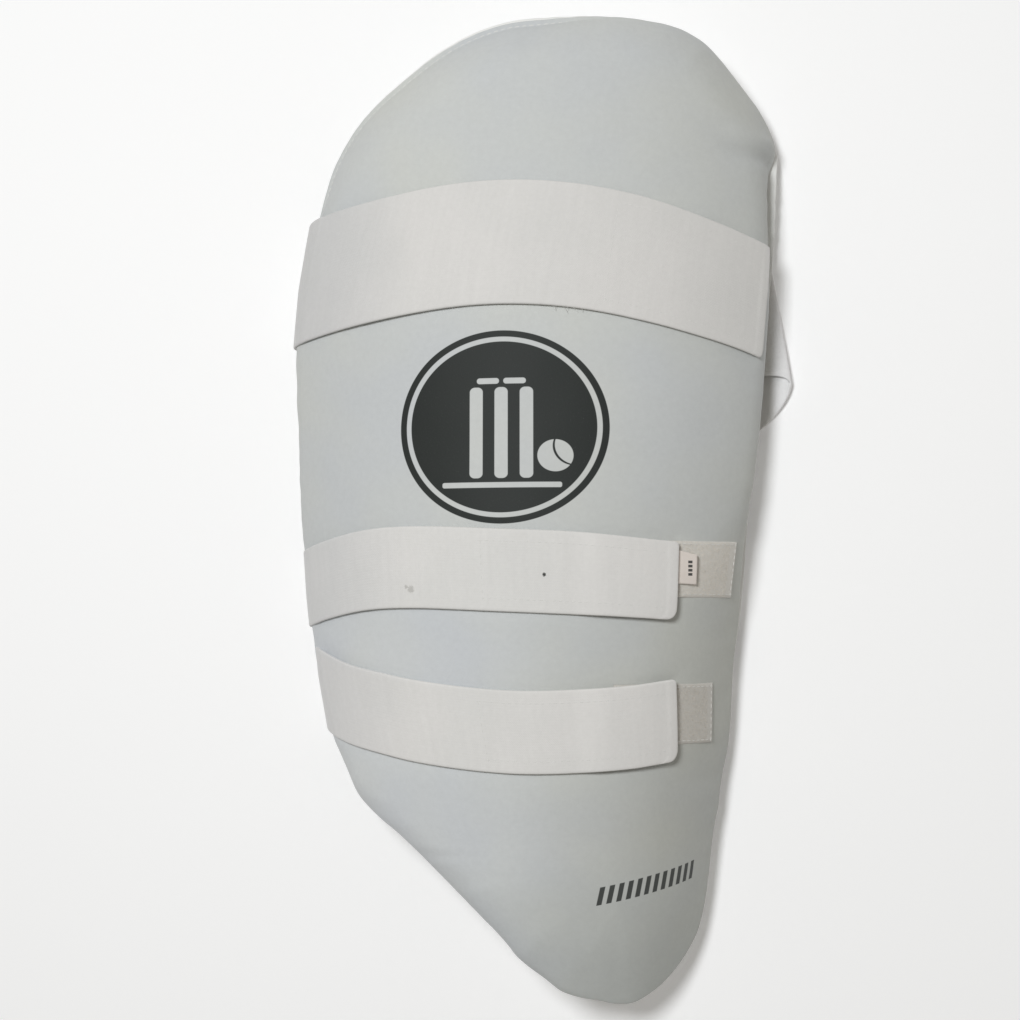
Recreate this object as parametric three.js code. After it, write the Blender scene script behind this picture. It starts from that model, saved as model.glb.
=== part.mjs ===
import * as THREE from "three";

// Cricket thigh guard: a padded shell curved to the thigh, held by three fabric straps.
// It lies on its hollow side. Lengths in millimetres, x across, y towards the hip end, z up.

// Driving dimensions of the shell.
const PAD_LENGTH = 415;
const HALF_WIDTH = 118;
const ARC_KNEE = 92;
const ARC_MIDDLE = 120;
const ARC_HIP = 158;
const CREST_HEIGHT = 53;
const CREST_DROP_HIP = 6;
const CREST_DROP_KNEE = 14;
const LINING_THICKNESS = 1.7;
const SEAT_GAP = 0.3;
const PAD_THICKNESS = 13;
const LINING_MARGIN = 1.5;
const HEM_WIDTH = 4.5;
const HEM_THICKNESS = 1.6;
const SHOULDER_WIDTH = 15;

// A shallow crease that runs in from the right edge near the hip end.
const CREASE_DEPTH = 2.6;
const CREASE_HALF_WIDTH = 9;
const CREASE_ALONG = 0.362;
const CREASE_START = 0.6;
const CREASE_END = 0.92;

// Straps, patches and label.
const STRAP_THICKNESS = 1.6;
const WAIST_STRAP_WIDTH = 52;
const THIGH_STRAP_WIDTH = 34;
const ROOT_INSET = 34;
const ROOT_LENGTH = 20;
const ROOT_GAP = 0.6;
const FRONT_GAP = 0.5;
const LAYER_GAP = 1.8;
const EDGE_CLEARANCE = 0.5;
const LEFT_LOOSENESS = 3.4;
const WAIST_LOOP_REACH = 15;
const TURN_INSET = 4;
const FLOOR_INSET = 12;
const PATCH_THICKNESS = 1.2;
const LABEL_THICKNESS = 0.5;

// Density of the facets.
const SIDE_STEPS = 17;
const HIP_STEPS = 20;
const KNEE_STEPS = 14;
const EDGE_STEPS = 288;

// Outline of the guard laid flat: along as a share of the length from the middle,
// left and right as shares of the half width from the crest line.
const OUTLINE = [
  { along: -0.5, left: 0.3, right: 0.405 },
  { along: -0.49, left: 0.185, right: 0.51 },
  { along: -0.474, left: 0.1, right: 0.578 },
  { along: -0.455, left: 0.012, right: 0.63 },
  { along: -0.435, left: -0.052, right: 0.68 },
  { along: -0.397, left: -0.19, right: 0.73 },
  { along: -0.341, left: -0.425, right: 0.752 },
  { along: -0.322, left: -0.54, right: 0.762 },
  { along: -0.303, left: -0.655, right: 0.769 },
  { along: -0.279, left: -0.718, right: 0.781 },
  { along: -0.24, left: -0.805, right: 0.809 },
  { along: -0.173, left: -0.862, right: 0.834 },
  { along: -0.088, left: -0.918, right: 0.874 },
  { along: -0.004, left: -0.96, right: 0.904 },
  { along: 0.08, left: -0.974, right: 0.947 },
  { along: 0.165, left: -0.966, right: 0.979 },
  { along: 0.237, left: -0.922, right: 1 },
  { along: 0.309, left: -0.85, right: 1.012 },
  { along: 0.349, left: -0.786, right: 1.014 },
  { along: 0.372, left: -0.738, right: 1.016 },
  { along: 0.41, left: -0.614, right: 0.94 },
  { along: 0.445, left: -0.432, right: 0.828 },
  { along: 0.481, left: -0.21, right: 0.69 },
  { along: 0.497, left: -0.03, right: 0.545 },
  { along: 0.5, left: 0.16, right: 0.43 },
];

// The middle line that the rings of facets shrink towards, as shares.
const SPINE = {
  knee: { across: 0.24, along: -0.34 },
  hip: { across: 0.07, along: 0.3 },
};

// Each strap: the middle of its front run as shares (across of the half width, along of the length),
// then where it runs under the guard, and how far its fold stands out past the right edge.
const STRAPS = [
  {
    name: "waist_strap",
    width: WAIST_STRAP_WIDTH,
    steps: 4,
    front: [
      { across: -0.8, along: 0.24 },
      { across: -0.5, along: 0.25 },
      { across: -0.13, along: 0.261 },
      { across: 0.07, along: 0.261 },
      { across: 0.25, along: 0.2555 },
      { across: 0.445, along: 0.244 },
      { across: 0.64, along: 0.227 },
      { across: 0.83, along: 0.2095 },
    ],
    end: { lower: 0.83, upper: 0.87 },
    root: 0.208,
    fold: 0.192,
    underRight: 0.145,
    underLeft: 0.24,
    loopReach: WAIST_LOOP_REACH,
    lift: 0,
  },
  {
    name: "upper_thigh_strap",
    width: THIGH_STRAP_WIDTH,
    steps: 3,
    front: [
      { across: -0.8, along: -0.081 },
      { across: -0.64, along: -0.071 },
      { across: -0.47, along: -0.063 },
      { across: -0.31, along: -0.061 },
      { across: 0, along: -0.0645 },
      { across: 0.32, along: -0.069 },
      { across: 0.53, along: -0.073 },
    ],
    end: { lower: 0.53, upper: 0.53 },
    root: -0.074,
    fold: -0.076,
    underRight: -0.078,
    underLeft: -0.081,
    loopReach: -TURN_INSET,
    lift: PATCH_THICKNESS + SEAT_GAP,
  },
  {
    name: "lower_thigh_strap",
    width: THIGH_STRAP_WIDTH,
    steps: 3,
    front: [
      { across: -0.73, along: -0.184 },
      { across: -0.57, along: -0.199 },
      { across: -0.41, along: -0.208 },
      { across: -0.26, along: -0.2155 },
      { across: 0.04, along: -0.2236 },
      { across: 0.35, along: -0.2195 },
      { across: 0.52, along: -0.213 },
    ],
    end: { lower: 0.52, upper: 0.52 },
    root: -0.205,
    fold: -0.203,
    underRight: -0.2,
    underLeft: -0.184,
    loopReach: -TURN_INSET,
    lift: PATCH_THICKNESS + SEAT_GAP,
  },
];

// Loop patches on the shell and the label at the end of the upper thigh strap, in shares.
const PATCHES = [
  { name: "upper_loop_patch", from: 0.33, to: 0.745, low: -0.0915, high: -0.035 },
  { name: "lower_loop_patch", from: 0.33, to: 0.655, low: -0.2375, high: -0.177 },
];
const LABEL = { from: 0.5335, to: 0.595, low: -0.0775, high: -0.044 };

const mix = (a, b, k) => a + (b - a) * k;
const clamp01 = (v) => Math.min(1, Math.max(0, v));
const smooth = (v) => clamp01(v) ** 2 * (3 - 2 * clamp01(v));

// Radius of the shell's arc at a place along it.
function arcRadius(y) {
  const t = y / PAD_LENGTH + 0.5;
  const knee = ARC_KNEE * (1 - t) * (1 - 2 * t);
  const middle = 4 * ARC_MIDDLE * t * (1 - t);
  const hip = ARC_HIP * t * (2 * t - 1);
  return knee + middle + hip;
}

// Height of the crest line of the lining's inner face.
function crestHeight(y) {
  const hip = Math.max(0, (2 * y) / PAD_LENGTH);
  const knee = Math.max(0, (-2 * y) / PAD_LENGTH);
  return CREST_HEIGHT - CREST_DROP_HIP * hip ** 2 - CREST_DROP_KNEE * knee ** 2;
}

// A point of the curved shell from its flat place and the height above the lining's inner face.
function shellPoint(across, y, height) {
  const radius = arcRadius(y);
  const angle = across / radius;
  const x = (radius + height) * Math.sin(angle);
  const z = crestHeight(y) - radius + (radius + height) * Math.cos(angle);
  return new THREE.Vector3(x, y, z);
}

// The outline as a closed smooth curve, counter-clockwise from above.
const rightSide = OUTLINE.map((row) => ({ across: row.right, along: row.along }));
const leftSide = OUTLINE.map((row) => ({ across: row.left, along: row.along })).reverse();
const outlineCurve = new THREE.CatmullRomCurve3(
  [...rightSide, ...leftSide].map(
    (p) => new THREE.Vector3(p.across * HALF_WIDTH, p.along * PAD_LENGTH, 0),
  ),
  true,
  "centripetal",
);
outlineCurve.arcLengthDivisions = 1000;
const fineOutline = outlineCurve.getSpacedPoints(EDGE_STEPS).slice(0, -1);

// The spine's rows, and the rays that go from them to the outline: up the right side,
// round the hip end, down the left side and round the knee end.
const spine = [];
for (let j = 0; j <= SIDE_STEPS; j++) {
  const k = j / SIDE_STEPS;
  const across = mix(SPINE.knee.across, SPINE.hip.across, k) * HALF_WIDTH;
  const along = mix(SPINE.knee.along, SPINE.hip.along, k) * PAD_LENGTH;
  spine.push(new THREE.Vector3(across, along, 0));
}
const rays = [];
for (let j = 0; j < SIDE_STEPS; j++) rays.push({ row: j, angle: 0 });
for (let j = 0; j < HIP_STEPS; j++) rays.push({ row: SIDE_STEPS, angle: (Math.PI * j) / HIP_STEPS });
for (let j = SIDE_STEPS; j > 0; j--) rays.push({ row: j, angle: Math.PI });
for (let j = 0; j < KNEE_STEPS; j++) rays.push({ row: 0, angle: Math.PI * (1 + j / KNEE_STEPS) });

// Where a ray meets the outline.
function rayEnd(ray) {
  const from = spine[ray.row];
  const dx = Math.cos(ray.angle);
  const dy = Math.sin(ray.angle);
  let reach = Infinity;
  for (let i = 0; i < EDGE_STEPS; i++) {
    const a = fineOutline[i];
    const b = fineOutline[(i + 1) % EDGE_STEPS];
    const ex = b.x - a.x;
    const ey = b.y - a.y;
    const area = dx * ey - dy * ex;
    const t = ((a.x - from.x) * ey - (a.y - from.y) * ex) / area;
    const u = ((a.x - from.x) * dy - (a.y - from.y) * dx) / area;
    if (t > 0 && u >= 0 && u <= 1) reach = Math.min(reach, t);
  }
  return new THREE.Vector3(from.x + dx * reach, from.y + dy * reach, 0);
}
const outline = rays.map(rayEnd);

// Distance from a flat place to the outline.
function edgeDistance(across, y) {
  let best = Infinity;
  for (let i = 0; i < EDGE_STEPS; i++) {
    const a = fineOutline[i];
    const b = fineOutline[(i + 1) % EDGE_STEPS];
    const dx = b.x - a.x;
    const dy = b.y - a.y;
    const k = clamp01(((across - a.x) * dx + (y - a.y) * dy) / (dx * dx + dy * dy));
    best = Math.min(best, Math.hypot(across - a.x - dx * k, y - a.y - dy * k));
  }
  return best;
}

// Left or right edge of the flat outline at a place along it.
function edgeAt(y, side) {
  const rows = OUTLINE;
  const share = y / PAD_LENGTH;
  let i = 0;
  while (i < rows.length - 2 && rows[i + 1].along < share) i++;
  const k = (share - rows[i].along) / (rows[i + 1].along - rows[i].along);
  return mix(rows[i][side], rows[i + 1][side], k) * HALF_WIDTH;
}

const HEM_END = LINING_MARGIN + HEM_WIDTH;
const SHOULDER_END = HEM_END + SHOULDER_WIDTH;

// Height of the pad's outer face above the lining's inner face.
const PAD_BASE = LINING_THICKNESS + SEAT_GAP;
const PAD_TOP = PAD_BASE + PAD_THICKNESS;
function outerHeight(across, y) {
  const hemTop = PAD_BASE + HEM_THICKNESS;
  const rise = clamp01((edgeDistance(across, y) - HEM_END) / SHOULDER_WIDTH);
  const shoulder = Math.sqrt(1 - (1 - rise) ** 2);
  const reach = smooth((across / HALF_WIDTH - CREASE_START) / (CREASE_END - CREASE_START));
  const off = (y - CREASE_ALONG * PAD_LENGTH) / CREASE_HALF_WIDTH;
  const crease = CREASE_DEPTH * reach * Math.exp(-off * off) * rise;
  return mix(hemTop, PAD_TOP, shoulder) - crease;
}

// Rings of flat places: first at set distances from the outline, then in shares towards the spine.
const SHOULDER_SHARES = [0.1, 0.3, 0.567];
const SHOULDER_RINGS = SHOULDER_SHARES.map((share) => HEM_END + share * SHOULDER_WIDTH);
const EDGE_DISTANCES = [0, LINING_MARGIN, HEM_END, ...SHOULDER_RINGS, SHOULDER_END];
const INNER_SHARES = [0.17, 0.34, 0.51, 0.68, 0.84];
function insetPoint(p, target, distance) {
  let near = 0;
  let far = 0.6;
  for (let i = 0; i < 24; i++) {
    const k = (near + far) / 2;
    const q = p.clone().lerp(target, k);
    if (edgeDistance(q.x, q.y) < distance) near = k;
    else far = k;
  }
  return p.clone().lerp(target, near);
}
const ringByDistance = new Map();
for (const d of EDGE_DISTANCES) {
  const inset = outline.map((p, i) => insetPoint(p, spine[rays[i].row], d));
  ringByDistance.set(d, d === 0 ? outline : inset);
}
const lastEdgeRing = ringByDistance.get(EDGE_DISTANCES.at(-1));
const innerRings = INNER_SHARES.map((share) =>
  lastEdgeRing.map((p, i) => p.clone().lerp(spine[rays[i].row], share)),
);

// A closed solid between an upper and a lower face, each a stack of rings from the rim inwards
// and the row of points on the spine that closes it.
function ringSolid(upper, lower) {
  const places = [];
  const index = [];
  const count = rays.length;
  const faces = [];
  for (const face of [upper, lower]) {
    const starts = [];
    for (const row of [...face.rings, face.spine]) {
      starts.push(places.length / 3);
      for (const q of row) places.push(q.x, q.y, q.z);
    }
    faces.push(starts);
  }
  const add = (flip, a, b, c) => {
    if (a !== b && b !== c && a !== c) index.push(a, flip ? c : b, flip ? b : c);
  };
  faces.forEach((starts, side) => {
    const flip = side === 1;
    for (let k = 0; k < starts.length - 1; k++) {
      const closing = k === starts.length - 2;
      for (let i = 0; i < count; i++) {
        const j = (i + 1) % count;
        const a = starts[k] + i;
        const b = starts[k] + j;
        const c = starts[k + 1] + (closing ? rays[j].row : j);
        const d = starts[k + 1] + (closing ? rays[i].row : i);
        add(flip, a, b, c);
        add(flip, a, c, d);
      }
    }
  });
  for (let i = 0; i < count; i++) {
    const j = (i + 1) % count;
    const top = faces[0][0];
    const bottom = faces[1][0];
    index.push(bottom + i, bottom + j, top + j);
    index.push(bottom + i, top + j, top + i);
  }
  const geometry = new THREE.BufferGeometry();
  geometry.setAttribute("position", new THREE.Float32BufferAttribute(places, 3));
  geometry.setIndex(index);
  return geometry;
}

// Rings and spine lifted onto the curved shell at a height that may change from place to place.
function liftFace(distances, heightAt) {
  const lift = (row) => row.map((p) => shellPoint(p.x, p.y, heightAt(p.x, p.y)));
  const rings = [...distances.map((d) => ringByDistance.get(d)), ...innerRings];
  return { rings: rings.map(lift), spine: lift(spine) };
}

// A closed solid between two grids of points that lie face to face.
function bandSolid(outer, inner) {
  const rows = outer.length;
  const columns = outer[0].length;
  const places = [];
  const index = [];
  for (const grid of [outer, inner]) for (const row of grid) for (const q of row) places.push(q.x, q.y, q.z);
  const at = (side, i, j) => (side * rows + i) * columns + j;
  const quad = (a, b, c, d) => index.push(a, b, c, a, c, d);
  for (let i = 0; i < rows - 1; i++) {
    for (let j = 0; j < columns - 1; j++) {
      quad(at(0, i, j), at(0, i + 1, j), at(0, i + 1, j + 1), at(0, i, j + 1));
      quad(at(1, i, j), at(1, i, j + 1), at(1, i + 1, j + 1), at(1, i + 1, j));
    }
    quad(at(0, i, 0), at(1, i, 0), at(1, i + 1, 0), at(0, i + 1, 0));
    const k = columns - 1;
    quad(at(0, i, k), at(0, i + 1, k), at(1, i + 1, k), at(1, i, k));
  }
  for (let j = 0; j < columns - 1; j++) {
    quad(at(0, 0, j), at(0, 0, j + 1), at(1, 0, j + 1), at(1, 0, j));
    const k = rows - 1;
    quad(at(0, k, j), at(1, k, j), at(1, k, j + 1), at(0, k, j + 1));
  }
  const geometry = new THREE.BufferGeometry();
  geometry.setAttribute("position", new THREE.Float32BufferAttribute(places, 3));
  geometry.setIndex(index);
  return geometry;
}

// The middle of a strap's front run at a place across the shell.
function frontMiddle(strap, across) {
  const rows = strap.front;
  const points = rows.map((r) => new THREE.Vector2(r.across * HALF_WIDTH, r.along * PAD_LENGTH));
  const curve = new THREE.SplineCurve(points);
  const first = points[0].x;
  const last = points.at(-1).x;
  if (across <= first) return points[0].y;
  if (across >= last) return points.at(-1).y + ((across - last) * (points.at(-1).y - points.at(-2).y)) / (last - points.at(-2).x);
  let low = 0;
  let high = 1;
  for (let i = 0; i < 24; i++) {
    const k = (low + high) / 2;
    if (curve.getPoint(k).x < across) low = k;
    else high = k;
  }
  return curve.getPoint(low).y;
}

// The level that the straps lie on under the guard: room for one layer below the lowest rim,
// and for two below the right rim at the waist strap.
function findUnderFloor() {
  const lowest = Math.min(...outline.map((p) => shellPoint(p.x, p.y, 0).z));
  const one = lowest - SEAT_GAP - STRAP_THICKNESS;
  const [waist] = STRAPS;
  const ends = [-0.5, 0, 0.5].map((side) => waist.root * PAD_LENGTH + side * waist.width);
  const rims = ends.map((y) => shellPoint(edgeAt(y, "right"), y, 0).z);
  const two = Math.min(...rims) - EDGE_CLEARANCE - 2 * STRAP_THICKNESS - LAYER_GAP;
  return Math.min(one, two);
}
const underFloor = findUnderFloor();

// A cubic curve in the plane of a cross-section.
function bezier(p0, p1, p2, p3, k) {
  const m = 1 - k;
  const f = [m * m * m, 3 * m * m * k, 3 * m * k * k, k * k * k];
  const x = f[0] * p0.x + f[1] * p1.x + f[2] * p2.x + f[3] * p3.x;
  const z = f[0] * p0.z + f[1] * p1.z + f[2] * p2.z + f[3] * p3.z;
  return { x, z };
}

// One line along a strap from its sewn root to its free end, at a share v of its width.
function strapLine(strap, v) {
  const half = STRAP_THICKNESS / 2;
  const side = (v - 0.5) * strap.width;
  const line = [];
  const add = (x, y, z) => line.push(new THREE.Vector3(x, y, z));
  const rootY = strap.root * PAD_LENGTH + side;
  const foldY = strap.fold * PAD_LENGTH + side;
  const rightY = strap.underRight * PAD_LENGTH + side;
  const leftY = strap.underLeft * PAD_LENGTH + side;
  const rightEdge = edgeAt(rootY, "right");

  // Sewn root on the lining.
  const rootHeight = -ROOT_GAP - half;
  const rootEnd = rightEdge - ROOT_INSET + ROOT_LENGTH;
  for (let i = 0; i <= 2; i++) {
    const q = shellPoint(mix(rightEdge - ROOT_INSET, rootEnd, i / 2), rootY, rootHeight);
    add(q.x, q.y, q.z);
  }

  // Out below the right edge.
  const leave = shellPoint(rootEnd, rootY, rootHeight);
  const ahead = shellPoint(rootEnd + 1, rootY, rootHeight);
  const rim = shellPoint(rightEdge, rootY, 0);
  const pass = { x: rim.x - TURN_INSET, z: rim.z - EDGE_CLEARANCE - half };
  const reachX = (pass.x - leave.x) * 0.5;
  const bendOut = {
    x: leave.x + (ahead.x - leave.x) * reachX,
    z: leave.z + (ahead.z - leave.z) * reachX,
  };
  const bendIn = { x: pass.x - reachX * 0.6, z: pass.z };
  for (let i = 1; i <= 4; i++) {
    const q = bezier(leave, bendOut, bendIn, pass, i / 4);
    add(q.x, rootY, q.z);
  }

  // The fold at the right edge, back to the floor.
  const floorZ = underFloor + half;
  const turn = rim.x + mix(strap.loopReach, Math.min(0, strap.loopReach), v);
  const land = { x: rim.x - FLOOR_INSET, z: floorZ };
  const far = (8 * turn - pass.x - land.x) / 6;
  const foldSteps = 9;
  for (let i = 1; i <= foldSteps; i++) {
    const k = i / foldSteps;
    const q = bezier(pass, { x: far, z: pass.z }, { x: far, z: floorZ }, land, k);
    const y = k < 0.5 ? mix(rootY, foldY, smooth(k * 2)) : mix(foldY, rightY, smooth(k * 2 - 1));
    add(q.x, y, q.z);
  }

  // Flat on the floor to the left.
  const frontStartY = frontMiddle(strap, strap.front[0].across * HALF_WIDTH) + side;
  const leftEdge = edgeAt(leftY, "left");
  const leftRim = shellPoint(leftEdge, leftY, 0);
  const rise = { x: leftRim.x + FLOOR_INSET, z: floorZ };
  for (let i = 1; i <= 5; i++) {
    const k = i / 5;
    add(mix(land.x, rise.x, k), mix(rightY, leftY, k), floorZ);
  }

  // Round the left edge, a little loose.
  const shoulderEdge = edgeAt(frontStartY, "left");
  const outside = PAD_TOP + FRONT_GAP + half;
  const meet = shellPoint(shoulderEdge + SHOULDER_END, frontStartY, outside);
  const back = 0.37 * (meet.z - floorZ);
  const next = shellPoint(shoulderEdge + SHOULDER_END - back, frontStartY, outside);
  const bulge = shellPoint(shoulderEdge + SHOULDER_END * 0.42, frontStartY, PAD_BASE + PAD_THICKNESS * 0.72);
  const widest = bulge.x - LEFT_LOOSENESS - half;
  const low = { x: (8 * widest - rise.x - 3 * next.x - meet.x) / 3, z: floorZ };
  const wrapSteps = 11;
  for (let i = 1; i <= wrapSteps; i++) {
    const k = i / wrapSteps;
    const q = bezier(rise, low, next, meet, k);
    add(q.x, mix(leftY, frontStartY, smooth(k)), q.z);
  }

  // Across the front to the free end.
  const from = shoulderEdge + SHOULDER_END;
  const to = mix(strap.end.lower, strap.end.upper, v) * HALF_WIDTH;
  const evenSteps = 19;
  const endSteps = 5;
  for (let i = 1; i <= evenSteps + endSteps; i++) {
    const even = (0.9 * i) / evenSteps;
    const k = i <= evenSteps ? even : 0.9 + (0.1 * (i - evenSteps)) / endSteps;
    const across = mix(from, to, k);
    const y = frontMiddle(strap, across) + side;
    const lift = strap.lift * smooth((across / HALF_WIDTH - 0.2) / 0.1);
    const q = shellPoint(across, y, outerHeight(across, y) + FRONT_GAP + half + lift);
    add(q.x, q.y, q.z);
  }
  return line;
}

// A strap as a band of even thickness about its middle face.
function strapSolid(strap) {
  const lines = [];
  for (let j = 0; j <= strap.steps; j++) lines.push(strapLine(strap, j / strap.steps));
  const rows = lines[0].length;
  const outer = [];
  const inner = [];
  for (let i = 0; i < rows; i++) {
    outer.push([]);
    inner.push([]);
    for (let j = 0; j <= strap.steps; j++) {
      const before = lines[j][Math.max(0, i - 1)];
      const after = lines[j][Math.min(rows - 1, i + 1)];
      const lower = lines[Math.max(0, j - 1)][i];
      const upper = lines[Math.min(strap.steps, j + 1)][i];
      const along = after.clone().sub(before);
      const normal = along.cross(upper.clone().sub(lower)).normalize();
      normal.multiplyScalar(STRAP_THICKNESS / 2);
      outer[i].push(lines[j][i].clone().add(normal));
      inner[i].push(lines[j][i].clone().sub(normal));
    }
  }
  return bandSolid(outer, inner);
}

// A thin patch that lies on the shell, its lower face at a set height over the outer face.
function patchSolid(box, above, thickness) {
  const rows = 8;
  const columns = 3;
  const outer = [];
  const inner = [];
  for (let i = 0; i <= rows; i++) {
    outer.push([]);
    inner.push([]);
    for (let j = 0; j <= columns; j++) {
      const across = mix(box.from, box.to, i / rows) * HALF_WIDTH;
      const y = mix(box.low, box.high, j / columns) * PAD_LENGTH;
      const height = outerHeight(across, y) + above;
      outer[i].push(shellPoint(across, y, height + thickness));
      inner[i].push(shellPoint(across, y, height));
    }
  }
  return bandSolid(outer, inner);
}

const coverWhite = new THREE.MeshStandardMaterial({ color: 0xcdd1d1, roughness: 0.85, metalness: 0 });
const liningWhite = new THREE.MeshStandardMaterial({ color: 0xd9d8d2, roughness: 0.9, metalness: 0 });
const strapWhite = new THREE.MeshStandardMaterial({ color: 0xdad8d4, roughness: 0.9, metalness: 0 });
const loopGrey = new THREE.MeshStandardMaterial({ color: 0xaca69e, roughness: 0.95, metalness: 0 });
const labelWhite = new THREE.MeshStandardMaterial({ color: 0xe2dfda, roughness: 0.7, metalness: 0 });

const guard = new THREE.Group();
function addPiece(name, geometry, material) {
  geometry.computeVertexNormals();
  const mesh = new THREE.Mesh(geometry, material);
  mesh.name = name;
  guard.add(mesh);
}

const padUpper = liftFace(EDGE_DISTANCES.slice(1), outerHeight);
const padLower = liftFace([LINING_MARGIN, HEM_END, SHOULDER_END], () => PAD_BASE);
addPiece("pad", ringSolid(padUpper, padLower), coverWhite);

const liningDistances = [0, LINING_MARGIN, HEM_END, SHOULDER_END];
const liningUpper = liftFace(liningDistances, () => LINING_THICKNESS);
const liningLower = liftFace(liningDistances, () => 0);
addPiece("lining", ringSolid(liningUpper, liningLower), liningWhite);

for (const strap of STRAPS) addPiece(strap.name, strapSolid(strap), strapWhite);
for (const patch of PATCHES) addPiece(patch.name, patchSolid(patch, SEAT_GAP, PATCH_THICKNESS), loopGrey);
const labelRise = SEAT_GAP + PATCH_THICKNESS + SEAT_GAP;
addPiece("size_label", patchSolid(LABEL, labelRise, LABEL_THICKNESS), labelWhite);

// Stand the guard on its lowest faces with the middle of its footprint at the origin.
const extent = new THREE.Box3().setFromObject(guard);
const middle = extent.getCenter(new THREE.Vector3());
for (const mesh of guard.children) mesh.geometry.translate(-middle.x, -middle.y, -extent.min.z);

export default guard;
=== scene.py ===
"""Dressed model of a cricket thigh guard: padded shell, lining, three straps, loop patches and label."""

import math

import bpy
import numpy as np
from mathutils import Matrix, Vector, noise


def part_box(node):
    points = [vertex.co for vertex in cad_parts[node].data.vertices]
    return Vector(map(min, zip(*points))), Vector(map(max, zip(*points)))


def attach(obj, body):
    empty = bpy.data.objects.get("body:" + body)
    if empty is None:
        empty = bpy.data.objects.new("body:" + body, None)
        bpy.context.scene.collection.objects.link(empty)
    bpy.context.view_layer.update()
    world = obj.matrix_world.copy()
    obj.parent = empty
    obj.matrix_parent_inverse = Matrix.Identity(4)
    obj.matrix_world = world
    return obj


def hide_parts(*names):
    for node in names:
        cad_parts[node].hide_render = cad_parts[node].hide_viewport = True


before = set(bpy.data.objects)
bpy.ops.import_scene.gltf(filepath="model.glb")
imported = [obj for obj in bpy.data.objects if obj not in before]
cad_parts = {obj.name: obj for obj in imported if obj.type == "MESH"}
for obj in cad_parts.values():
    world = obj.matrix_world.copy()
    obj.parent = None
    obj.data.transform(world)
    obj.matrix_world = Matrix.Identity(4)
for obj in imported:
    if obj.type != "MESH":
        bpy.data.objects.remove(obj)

bl_info = {
    "name": "Thigh Guard",
    "version": (1, 0, 0),
    "blender": (4, 5, 0),
    "location": "View3D > Sidebar > Thigh Guard",
    "description": "Builds a cricket thigh guard lying on its hollow side",
    "category": "Object",
}

MM = 0.001

# Outline of the guard laid flat, as shares of its length and half width.
OUTLINE = [
    {"along": -0.503, "left": 0.345, "right": 0.41},
    {"along": -0.5, "left": 0.3, "right": 0.44},
    {"along": -0.49, "left": 0.165, "right": 0.505},
    {"along": -0.474, "left": 0.09, "right": 0.576},
    {"along": -0.455, "left": 0.006, "right": 0.639},
    {"along": -0.435, "left": -0.052, "right": 0.688},
    {"along": -0.397, "left": -0.19, "right": 0.73},
    {"along": -0.341, "left": -0.425, "right": 0.76},
    {"along": -0.322, "left": -0.535, "right": 0.773},
    {"along": -0.303, "left": -0.625, "right": 0.791},
    {"along": -0.279, "left": -0.682, "right": 0.802},
    {"along": -0.24, "left": -0.775, "right": 0.838},
    {"along": -0.173, "left": -0.858, "right": 0.855},
    {"along": -0.088, "left": -0.915, "right": 0.895},
    {"along": -0.004, "left": -0.95, "right": 0.912},
    {"along": 0.08, "left": -0.96, "right": 0.952},
    {"along": 0.165, "left": -0.966, "right": 0.98},
    {"along": 0.237, "left": -0.922, "right": 1.0},
    {"along": 0.309, "left": -0.85, "right": 1.012},
    {"along": 0.349, "left": -0.786, "right": 1.015},
    {"along": 0.372, "left": -0.738, "right": 1.02},
    {"along": 0.41, "left": -0.614, "right": 0.946},
    {"along": 0.445, "left": -0.432, "right": 0.834},
    {"along": 0.481, "left": -0.21, "right": 0.7},
    {"along": 0.497, "left": -0.03, "right": 0.566},
    {"along": 0.5, "left": 0.1, "right": 0.5},
    {"along": 0.503, "left": 0.25, "right": 0.39},
]

# On the right side, from the knee end to the hip end: how far the pad's rim is set back from the
# lining's, and how far the lining's bare rim curls up, in metres.
RIGHT_RIM = [
    {"along": -0.2, "inset": 0.0, "curl": 0.0},
    {"along": -0.11, "inset": 0.001, "curl": 0.001},
    {"along": -0.04, "inset": 0.0024, "curl": 0.002},
    {"along": 0.1, "inset": 0.0028, "curl": 0.0022},
    {"along": 0.2, "inset": 0.0036, "curl": 0.0012},
    {"along": 0.26, "inset": 0.0052, "curl": 0.003},
    {"along": 0.33, "inset": 0.0054, "curl": 0.0034},
    {"along": 0.352, "inset": 0.0044, "curl": 0.0024},
    {"along": 0.38, "inset": 0.0004, "curl": 0.0},
    {"along": 0.41, "inset": 0.0, "curl": 0.0},
]
INSET_REACH = 0.016

# The crease near the hip end: where it starts and how far it runs as shares of the half width, where
# its inner and outer end lie along the guard, and the low lip beside it.
CREASE = {"start": 0.66, "run": 0.22, "along": (0.366, 0.359), "lip": 0.4, "lip_off": 2.3}

# How much wider the shoulder is at the hip end, in metres, and how much of the hem's width stays flat
# where it is rolled under and where it lies open.
HIP_SHOULDER = 0.009
FLAT_HEM = (0.1, 0.62)

# Middle line that the rings of faces shrink towards, as shares.
SPINE = {"knee": (0.24, -0.34), "hip": (0.07, 0.3)}

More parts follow.
